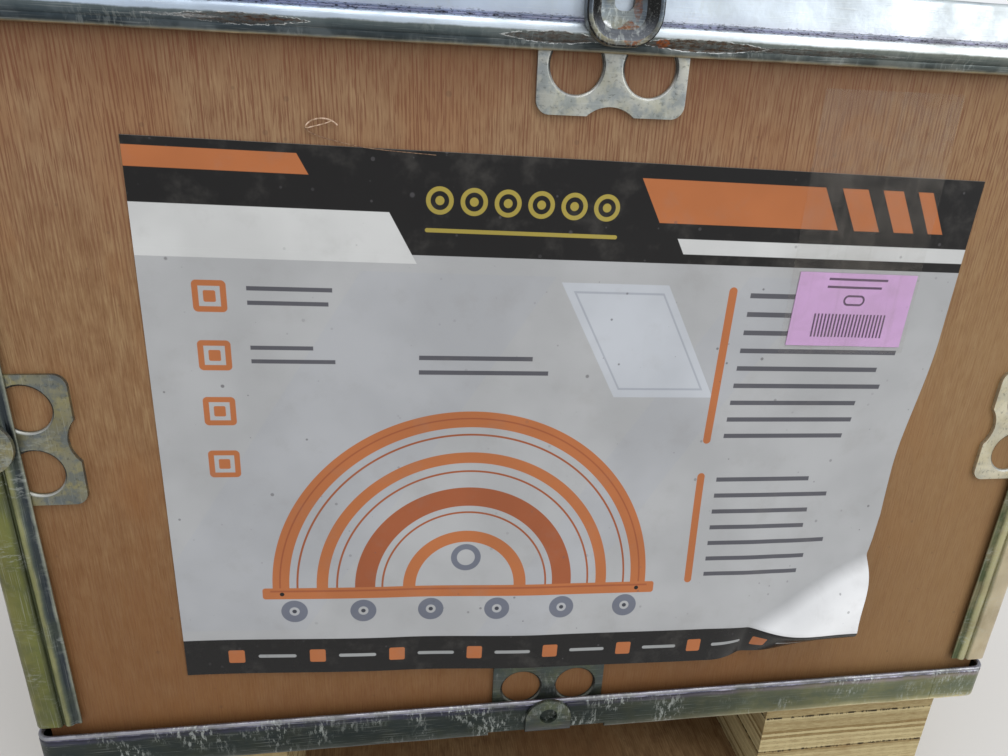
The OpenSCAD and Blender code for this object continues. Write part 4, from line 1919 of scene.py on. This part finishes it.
@dataclass
class Tag(Sheet):
    """Small printed tag stuck on the label."""

    width: float = 48 * MM
    height: float = 28.5 * MM
    middle_x: float = 104.5 * MM
    middle_z: float = 275.4 * MM
    lean: float = -1.5
    off: float = 0.0

    @staticmethod
    def lie(co: Vector) -> Vector:
        """Shift that lays the tag on the label, slightly buckled."""
        return Vector((0, 0, 0.75 * MM + 0.12 * MM * math.sin(co.x * 190) * math.cos(co.y * 160)))

    def build(self, finish: PrintFinish) -> Workpiece:
        """Models the tag and prints it.

        Args:
            finish: Its finish.

        Returns:
            The workpiece.
        """
        piece = Workpiece.grid("printed_tag", self.width, self.height, MM)
        piece.remember(lambda co: tuple(co))
        piece.move(self.lie)
        piece.modify("SOLIDIFY", thickness=0.3 * MM, offset=-1)
        piece.smooth(50)
        piece.set_down(self.matrix())
        piece.dress(finish.material(), "tag_paper", "lot_tag")
        return piece


@dataclass
class Tape:
    """Clear tape from the plywood over the label's top edge and the tag."""

    left: float = 77.6 * MM
    width: float = 52.4 * MM
    bottom: float = 258 * MM
    height: float = 95 * MM
    label_top: float = 325.2 * MM
    tag: tuple[float, float, float, float] = (80 * MM, 129 * MM, 260.6 * MM, 290.2 * MM)

    def lie(self, co: Vector) -> Vector:
        """Shift that lays the tape on the sheets below it, with a few wrinkles.

        Args:
            co: Place on the flat tape.

        Returns:
            The shift.
        """
        x, z = co.x + self.left, co.y + self.bottom
        height = 0.15 * MM + 0.5 * MM * smoothly((self.label_top + MM - z) / (2 * MM))
        low_x, high_x, low_z, high_z = self.tag
        over = min(x - low_x, high_x - x, z - low_z, high_z - z)
        height += 0.35 * MM * smoothly((over + 1.5 * MM) / (2 * MM))
        ruck = math.exp(-((co.x - 30 * MM - 0.12 * (z - 325 * MM)) / (1.1 * MM)) ** 2)
        ruck += 0.7 * math.exp(-((co.x - 12 * MM + 0.2 * (z - 330 * MM)) / (0.9 * MM)) ** 2)
        height += 0.35 * MM * ruck * smoothly((z - 308 * MM) / (12 * MM))
        return Vector((0, 0, height))

    def build(self, finish: TapeFinish) -> Workpiece:
        """Models the tape.

        Args:
            finish: Its finish.

        Returns:
            The workpiece.
        """
        piece = Workpiece.grid("clear_tape", self.width, self.height, MM)
        piece.remember(lambda co: tuple(co))
        piece.move(self.lie)
        piece.modify("SOLIDIFY", thickness=0.06 * MM, offset=1)
        piece.smooth(60)
        piece.set_down(FACES.on(Side.FRONT) @ Matrix.Translation((self.left, self.bottom, 0)))
        piece.dress(finish.material(), "label_paper")
        return piece


@dataclass
class Sliver:
    """Curled sliver of wood fibre at the label's top edge, whose points are x and z in millimetres."""

    name: str
    points: tuple[Point, ...]
    radius: float
    lift: float
    thin_end: float = 0.4

    def build(self, finish: FibreFinish) -> Workpiece:
        """Draws the sliver's path and gives it a round section.

        Args:
            finish: Its finish.

        Returns:
            The workpiece.
        """
        Workpiece.clear_bench()
        bpy.ops.curve.primitive_nurbs_path_add(radius=1, location=(0, 0, 0))
        line = bpy.context.object.data
        spline = line.splines[0]
        spline.points.add(len(self.points) - len(spline.points))
        for index, (point, (x, z)) in enumerate(zip(spline.points, self.points)):
            point.co = (x * MM, -FACES.y - self.lift, z * MM, 1)
            point.radius = 1.0 - (1.0 - self.thin_end) * index / len(self.points)
        spline.use_endpoint_u = True
        line.bevel_depth, line.bevel_resolution, line.resolution_u = self.radius, 3, 8
        line.use_fill_caps = True
        bpy.ops.object.convert(target="MESH")
        piece = Workpiece(self.name)
        piece.smooth(60)
        piece.dress(finish.material(), "plywood")
        return piece


SLIVER_LOOP = ((-84.9, 335.2), (-86.2, 336.6), (-88.8, 337.3), (-91.6, 337.1), (-94.0, 335.8), (-95.0, 334.4),
               (-94.6, 333.9), (-93.2, 334.5), (-91.0, 335.0), (-88.6, 335.6), (-86.8, 336.4))
SLIVER_TAIL = ((-95.0, 334.4), (-94.4, 333.0), (-91.0, 331.6), (-86.0, 330.6), (-82.0, 329.6), (-75.1, 328.4),
               (-65.6, 327.9), (-54.0, 327.2))


class Crate:
    """The whole crate: solids that keep their shape, and pieces that stand for the rest."""

    def __init__(self) -> None:
        """Sets out the strips and clips."""
        end = 2 * (FACES.x - MM)
        side = 2 * (FACES.y - MM)
        rims = {"proud": RIM_PROUD, "sink": 1.6 * MM, "rib_width": 6.3 * MM, "rib_rise": 1.6 * MM,
                "hem": 0.9 * MM, "wall": 0.8 * MM}
        self.end_strips = {**rims, "length": end, "bent": True}
        self.side_strips = {**rims, "length": side, "slots": SIDE_PLACES, "spacing": 8 * MM}
        self.lid, self.base = {"width": 21.3 * MM}, {"width": 18.6 * MM}
        self.post = {"width": 17.5 * MM, "proud": POST_PROUD, "sink": 1.4 * MM, "rib_width": 4 * MM,
                     "rib_rise": 1.2 * MM, "hem": 0.5 * MM, "wall": 0.45 * MM, "spacing": 3 * MM}

    def panels(self) -> None:
        """Gives the solids that keep their shape their finishes."""
        shade = srgb(96, 60, 36)
        # Painted light by height: darker, warmer wood towards the bottom, a lighter, greyer top, and painted
        # shade just under the lid strip and just above the base strip.
        heights = (Wash(2, 0.28, 0.12, 0.75, srgb(114, 76, 38)), Wash(2, 0.27, 0.33, 0.3, srgb(150, 120, 94)),
                   Wash(2, 0.338, 0.358, 0.4, shade), Wash(2, 0.11, 0.092, 0.3, shade))
        # Painted light across the ends: paler wood towards the right, where more light falls, and painted shade
        # along both side edges by the posts.
        borders = (Wash(0, 0.08, 0.19, 0.6, srgb(144, 114, 74)), Wash(0, 0.19, 0.213, 0.35, shade),
                   Wash(0, -0.19, -0.213, 0.35, shade))
        ends = VeneerFinish("end veneer", Grain.UPRIGHT, washes=heights + borders).material()
        flats = VeneerFinish("long veneer", Grain.ALONG, washes=heights).material()
        lid = VeneerFinish("lid veneer", Grain.ALONG, washes=borders[1:]).material()
        low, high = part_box("left_runner")
        timber = LaminateFinish("runner layers", low.z, (high.z - low.z) / 3).material()
        board = VeneerFinish("skid board", Grain.ALONG, dark=srgb(104, 76, 48), middle=srgb(138, 110, 76),
                             light=srgb(166, 138, 98), ruddy=srgb(128, 92, 58)).material()
        dress = {"front_end_panel": ends, "rear_end_panel": ends, "left_side_panel": flats,
                 "right_side_panel": flats, "base_panel": flats, "lid_panel": lid,
                 "left_runner": timber, "right_runner": timber, "bottom_board": board}
        for node, material in dress.items():
            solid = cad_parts[node]
            solid.data.materials.clear()
            solid.data.materials.append(material)
            LOG.info("%s: %s", node, material.name)

    def rims(self) -> None:
        """Models the strips along the top and bottom edges."""
        for side in Side:
            at_end = side in (Side.FRONT, Side.REAR)
            for top in (True, False):
                node = f"{'lid' if top else 'base'}_rim_{side.name.lower()}"
                sizes = {**(self.end_strips if at_end else self.side_strips),
                         **(self.lid if top else self.base)}
                if at_end:
                    clip = f"{side.name.lower()}_clip_{'top' if top else 'bottom'}"
                    x = FACES.place_of(clip, side).x
                    sizes["slots"] = (-x if top else x,)
                if top:
                    strip = LidRim("edge_" + node, rolled=END_ROLLED if at_end else SIDE_ROLLED, **sizes)
                else:
                    seam = END_SEAM if side is Side.FRONT else None
                    strip = BaseRim("edge_" + node, seam=seam, **sizes)
                dents = LID_DENTS if node == "lid_rim_front" else ()
                finish = RIM_FINISHES.get(node, LID_PLAIN if top else BASE_PLAIN)
                piece = strip.build(FACES.edge(side, top), dents)
                piece.dress(finish.material(), "edge_steel", node)

    def posts(self) -> None:
        """Models the corner strips."""
        low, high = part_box("post_front_left")
        low.z += 3 * MM
        middle_z = (low.z + high.z) / 2
        corner = (FACES.x + POST_PROUD, FACES.y)
        for name, side, along in (("front_left", Side.FRONT, 1), ("front_right", Side.FRONT, -1),
                                  ("rear_right", Side.REAR, 1), ("rear_left", Side.REAR, -1)):
            turn = Matrix.Rotation(math.radians(side.value), 4, "Z")
            clip_side = "left" if along > 0 else "right"
            clip_z = self.middle_height(f"{side.name.lower()}_clip_{clip_side}")
            slot = -along * (clip_z - middle_z)
            axes = Matrix(((0, along, 0, -along * corner[0]), (0, 0, -1, -corner[1]),
                           (-along, 0, 0, middle_z), (0, 0, 0, 1)))
            strip = Post("edge_post_" + name, length=high.z - low.z, slots=(slot,), **self.post)
            finish = POST_LEFT if name == "front_left" else POST_RIGHT
            strip.build(turn @ axes).dress(finish.material(), "edge_steel", "post_" + name)

    @staticmethod
    def middle_height(node: str) -> float:
        """Height of a solid's middle."""
        low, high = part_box(node)
        return (low.z + high.z) / 2

    def clips(self) -> None:
        """Models the clips and puts one at each place."""
        lid_width, base_width, post_width = (sizes["width"] for sizes in (self.lid, self.base, self.post))
        bent = BentClip(lid_width, RIM_PROUD).build("bent_clip")
        lifted = Clip(lid_width, RIM_PROUD, 2.6 * MM).build("lifted_clip")
        lid = Clip(lid_width, RIM_PROUD).build("lid_clip")
        base = Clip(base_width + MM, RIM_PROUD).build("base_clip")
        post = Clip(post_width, POST_PROUD).build("post_clip")
        steels = {name: finish.material() for name, finish in CLIP_FINISHES.items()}
        # edge finishes: worn zinc with painted shade on the faces that look down
        worn = {name: finish.material() for name, finish in EDGE_FINISHES.items()}
        for side in (Side.FRONT, Side.REAR):
            end = side.name.lower()
            for top, model in ((True, bent if side is Side.FRONT else lifted), (False, base)):
                node = f"{end}_clip_{'top' if top else 'bottom'}"
                x = FACES.place_of(node, side).x
                piece = model.copied("steel_" + node).set_down(FACES.edge(side, top, x))
                kind = "bent" if model is bent else "top" if top else "bottom"
                piece.dress(steels[kind], "clip_steel", node, edges=worn["grey" if model is bent else kind])
            for hand, sign in (("left", -1), ("right", 1)):
                node = f"{end}_clip_{hand}"
                x = sign * (FACES.x + POST_PROUD)
                place = (FACES.on(side) @ Matrix.Translation((x, self.middle_height(node), 0))
                         @ Matrix.Rotation(sign * math.pi / 2, 4, "Z"))
                piece = post.copied("steel_" + node).set_down(place)
                piece.dress(steels[hand], "clip_steel", node, edges=worn["top"])
        for side in (Side.LEFT, Side.RIGHT):
            for top, model in ((True, lid), (False, base)):
                node = f"{side.name.lower()}_clips_{'top' if top else 'bottom'}"
                row = [model.copied(f"steel_{node}_{i}").set_down(FACES.edge(side, top, x))
                       for i, x in enumerate(SIDE_PLACES)]
                row[0].joined(row[1:])
                row[0].obj.name = row[0].obj.data.name = "steel_" + node
                kind = "top" if top else "bottom"
                row[0].dress(steels[kind], "clip_steel", node, edges=worn[kind])
        for model in (bent, lifted, lid, base, post):
            bpy.data.objects.remove(model.obj)

    def sheets(self) -> None:
        """Puts the label, the tag, the tape and the slivers on the front end."""
        sheen_past_crease = (PaintedSheen(CREASE, PAST_CREASE, 5.0, 0.55), PaintedSheen((236, 10), PAST_CREASE, 16.0, 0.6))
        label = PrintFinish("label print", srgb(168, 169, 170), LABEL_MARKS, LABEL_RULINGS, 0.7, 0.42, sheen_past_crease)
        tag = PrintFinish("tag print", srgb(200, 160, 205), TAG_MARKS, TAG_RULINGS, 0.5, 0.5)
        Label().build(label)
        Tag().build(tag)
        Tape().build(TapeFinish("clear tape"))
        pale = FibreFinish("pale wood fibre", srgb(214, 186, 164))
        # Painted shade: the tail is the same strand as the pale loop, drawn dark where it lies in shade along
        # the label's top edge.
        dark = FibreFinish("dark wood fibre", srgb(92, 58, 38))
        Sliver("wood_sliver", SLIVER_LOOP, 0.26 * MM, 1.4 * MM, 0.5).build(pale)
        Sliver("wood_sliver_tail", SLIVER_TAIL, 0.2 * MM, 0.9 * MM).build(dark)


# Lid strip tones: painted shade on the rolled edge and the rib's lower side, a painted highlight on its upper
# side, and the crease and flat painted with the reflection of a bright sky.
LID_BANDS = toned(
    (0.0, 168, 152, 120), (0.5, 120, 116, 100), (1.0, 64, 68, 66), (2.6, 74, 82, 82), (4.0, 92, 100, 98),
    (5.0, 118, 124, 118), (5.5, 232, 238, 240), (8.2, 226, 232, 236), (8.8, 204, 202, 222),
    (9.5, 206, 208, 224), (10.2, 208, 214, 224), (13.0, 216, 224, 232), (19.5, 208, 216, 224),
    (21.3, 150, 160, 168), (32.0, 120, 124, 118))
# Base strip tones: a painted highlight on the bead, a painted shadow just below it, and the flat painted dark
# green with the reflection of the ground.
BASE_BANDS = toned(
    (0.0, 120, 118, 130), (0.3, 156, 156, 164), (1.3, 162, 162, 168), (1.7, 118, 116, 132), (2.1, 54, 54, 68),
    (3.4, 84, 84, 100), (5.0, 66, 74, 68), (10.0, 56, 66, 62), (14.5, 66, 74, 66), (16.6, 96, 100, 90),
    (17.6, 134, 136, 126), (18.6, 90, 90, 78), (24.0, 84, 82, 70))
# Left post tones: painted highlights and shade on the hem and rib, and the flat painted olive with the
# reflection of green grass.
POST_BANDS = toned(
    (0.0, 150, 152, 136), (0.6, 118, 124, 118), (1.2, 50, 56, 62), (2.6, 62, 70, 74), (3.3, 84, 92, 84),
    (4.3, 146, 146, 104), (5.4, 136, 138, 92), (6.4, 72, 78, 54), (7.4, 84, 88, 58), (8.6, 112, 116, 66),
    (15.0, 126, 124, 74), (17.5, 104, 96, 66))
# Right post tones: painted highlights and shade on the hem and rib, and the flat painted pale tan with the
# reflection of dry ground.
PALE_POST_BANDS = toned(
    (0.0, 120, 124, 96), (0.7, 74, 84, 56), (2.4, 84, 92, 62), (3.2, 170, 168, 128), (6.0, 186, 182, 142),
    (7.0, 150, 146, 118), (8.0, 196, 184, 154), (16.0, 200, 186, 158), (17.5, 168, 160, 134))
BROWN = srgb(88, 76, 68)
LID_SPOTS = (
    Spot(111.0, 4.0, 20.0, 1.5, BROWN, 0.8, 0.9, 0.9),
    Spot(128.0, 3.9, 13.0, 0.5, srgb(206, 208, 208), 0.5, 1.3),
    Spot(105.0, 4.1, 10.0, 0.6, srgb(82, 56, 42), 0.8, 1.2),
    Spot(17.8, 3.7, 16.5, 1.7, BROWN, 0.8, 0.8, 0.85),
    Spot(-30.7, 3.5, 22.0, 1.8, srgb(84, 66, 52), 0.95, 0.5, 0.9),
    Spot(-70.0, 3.4, 30.0, 0.9, BROWN, 0.7, 0.9, 0.3),
    Spot(-17.2, 3.4, 2.8, 1.3, srgb(146, 78, 36), 0.9, 2.2),
)
LID_DENTS = (
    Dent(112.9 * MM, 18.0 * MM, 20 * MM, 4 * MM, 0.5 * MM),
    Dent(14.8 * MM, 18.0 * MM, 12 * MM, 3.5 * MM, 0.4 * MM),
    Dent(-28.7 * MM, 18.0 * MM, 17 * MM, 4 * MM, 0.6 * MM),
)
# Painted reflection on the front lid strip: bluish to the left, whiter to the right. Painted light on the front
# base strip: darker and bluer to the left, brighter and warmer to the right.
LID_PAINTED_REFLECTION_CASTS = (srgb(255, 255, 250), srgb(216, 228, 246))
BASE_PAINTED_LIGHT_CASTS = ((0.52, 0.54, 0.6, 1.0), (3.5, 3.0, 2.1, 1.0))
LID_PLAIN = ZincFinish("lid strip zinc", LID_BANDS, srgb(170, 172, 164), 0.25, 8.9, 0.2)
BASE_PLAIN = ZincFinish("base strip zinc", BASE_BANDS, srgb(88, 92, 70), 0.4, 0.0, 0.55, 0.9)
RIM_FINISHES = {
    "lid_rim_front": ZincFinish("front lid strip zinc", LID_BANDS, srgb(176, 178, 170), 0.2, 8.9, 0.2,
                                spots=LID_SPOTS, casts=LID_PAINTED_REFLECTION_CASTS),
    "base_rim_front": ZincFinish("front base strip zinc", BASE_BANDS, srgb(88, 92, 70), 0.35, 0.0, 0.6, 0.9,
                                 casts=BASE_PAINTED_LIGHT_CASTS, casts_from=0.0, casts_below=1.8),
}
# Both posts are the same zinc; they differ only by their painted reflections.
POST_LEFT = ZincFinish("left post zinc", POST_BANDS, srgb(84, 92, 74), 0.4, 0.0, 0.35, 0.7)
POST_RIGHT = ZincFinish("right post zinc", PALE_POST_BANDS, srgb(170, 152, 120), 0.35, 0.0, 0.3, 0.5)
RUST = srgb(126, 72, 34)
CUP_SPOTS = (
    Spot(-2.4, 15.6, 4.6, 3.6, RUST, 0.85, 1.6),
    Spot(-4.4, 8.5, 1.5, 4.5, RUST, 0.6, 1.4),
    # painted highlight: near-white spot where the cup catches the light
    Spot(5.6, 14.4, 2.4, 2.0, srgb(236, 240, 242), 0.9, 0.8),
)
# The clips are one zinc painted as lit and shaded copies: the top clips light with painted sky reflection, the
# bottom clips dark with painted shade and ground reflection, and the side clips painted with the reflected
# colours at their sides.
CLIP_FINISHES = {
    "bent": ZincFinish(
        "bent clip zinc",
        toned((0.0, 62, 68, 78), (12.0, 88, 96, 104), (17.0, 74, 74, 74), (19.6, 108, 98, 84),
              (20.2, 176, 176, 168), (40.0, 186, 188, 180)),
        srgb(158, 154, 124), 0.45, 0.0, 0.35, spots=CUP_SPOTS, cool_share=0.5),
    "top": ZincFinish(
        "top clip zinc", toned((0.0, 120, 124, 130), (21.0, 164, 166, 160), (40.0, 176, 180, 172)),
        srgb(184, 178, 140), 0.5, cool_share=0.5),
    "bottom": ZincFinish(
        "bottom clip zinc",
        toned((0.0, 104, 104, 110), (8.0, 72, 76, 66), (19.0, 84, 88, 84), (38.0, 76, 82, 78)),
        srgb(96, 104, 70), 0.5, cool=srgb(62, 74, 76), cool_share=0.5),
    "left": ZincFinish(
        "left clip zinc", toned((0.0, 120, 120, 112), (17.0, 128, 128, 112), (36.0, 132, 130, 112)),
        srgb(154, 144, 92), 0.55, cool=srgb(84, 98, 112), cool_share=0.6),
    "right": ZincFinish(
        "right clip zinc", toned((0.0, 186, 178, 156), (17.0, 206, 198, 176), (36.0, 214, 208, 184)),
        srgb(176, 164, 124), 0.45, cool=srgb(168, 168, 160), cool_share=0.4),
}
# Rounded clip edges: lighter worn zinc, with painted shade on the faces that look down.
EDGE_FINISHES = {
    "top": ZincFinish(
        "worn clip edge", toned((0.0, 176, 178, 174), (40.0, 182, 184, 178)), srgb(150, 148, 128), 0.35,
        roughness=0.46, painted_underside_shade=0.95),
    "bottom": ZincFinish(
        "dull clip edge", toned((0.0, 118, 122, 118), (40.0, 122, 124, 114)), srgb(96, 100, 80), 0.5,
        roughness=0.48, painted_underside_shade=0.95),
    "grey": ZincFinish(
        "bent clip edge",
        toned((0.0, 76, 84, 98), (19.8, 96, 98, 100), (20.2, 214, 216, 212), (40.0, 218, 220, 214)),
        srgb(84, 88, 96), 0.5, roughness=0.44, painted_underside_shade=0.92),
}


@dataclass(frozen=True)
class Lamp:
    """Soft square lamp that points at the crate's front end."""

    name: str
    place: tuple[float, float, float]
    size: float
    power: float
    target: tuple[float, float, float] = (0.0, -1.1, 0.2)

    def hang(self) -> None:
        """Adds the lamp."""
        Workpiece.clear_bench()
        aim = Vector(self.target) - Vector(self.place)
        turn = aim.to_track_quat("-Z", "Y").to_euler()
        bpy.ops.object.light_add(type="AREA", location=self.place, rotation=turn)
        lamp = bpy.context.object
        lamp.name = self.name
        lamp.data.shape, lamp.data.size, lamp.data.energy = "SQUARE", self.size, self.power
        lamp.visible_camera = False


@dataclass
class Studio:
    """Camera, floor, surrounding light and lamps."""

    camera_place: tuple[float, float, float] = (-0.0642, -1.3639, 0.3404)
    camera_turn: tuple[float, float, float] = (69.2506, -2.224, -7.652)
    lens: float = 24.84
    lamps: tuple[Lamp, ...] = (
        Lamp("overhead", (0.2, -1.6, 1.9), 1.6, 20.0),
        Lamp("front_right", (1.6, -2.6, 1.1), 1.2, 14.0),
    )

    def set_up(self) -> None:
        """Builds the whole studio."""
        self.floor()
        self.camera()
        self.surround()
        for lamp in self.lamps:
            lamp.hang()
        bpy.context.scene.view_settings.view_transform = "Standard"

    def floor(self) -> None:
        """Adds a wide pale floor."""
        Workpiece.clear_bench()
        bpy.ops.mesh.primitive_plane_add(size=14, location=(0, 0, -MM / 2))
        floor = Workpiece("studio_floor").obj
        floor.data.materials.append(FloorFinish("pale floor").material())

    def camera(self) -> None:
        """Adds the camera where the photograph was taken from."""
        Workpiece.clear_bench()
        turn = Euler([math.radians(angle) for angle in self.camera_turn])
        bpy.ops.object.camera_add(location=self.camera_place, rotation=turn)
        camera = bpy.context.object
        camera.data.lens, camera.data.sensor_width, camera.data.clip_start = self.lens, 36, 0.01
        bpy.context.scene.camera = camera

    def surround(self) -> None:
        """Gives the world a soft even light and a white background."""
        world = bpy.data.worlds.new("soft surround")
        bpy.context.scene.world = world
        world.use_nodes = True
        nodes = Nodes(world.node_tree)
        background = world.node_tree.nodes["Background"].inputs
        seen = nodes.node("LightPath").outputs["Is Camera Ray"]
        nodes.feed(background["Color"], srgb(244, 246, 250))
        nodes.feed(background["Strength"], nodes.plus(0.76, nodes.times(seen, 0.24)))


def main() -> None:
    """Builds the crate and the studio."""
    logging.basicConfig(level=logging.INFO, format="%(message)s")
    crate = Crate()
    for step in (crate.panels, crate.rims, crate.posts, crate.clips, crate.sheets, Studio().set_up):
        step()
    Workpiece.clear_bench()


if __name__ == "__main__":
    main()
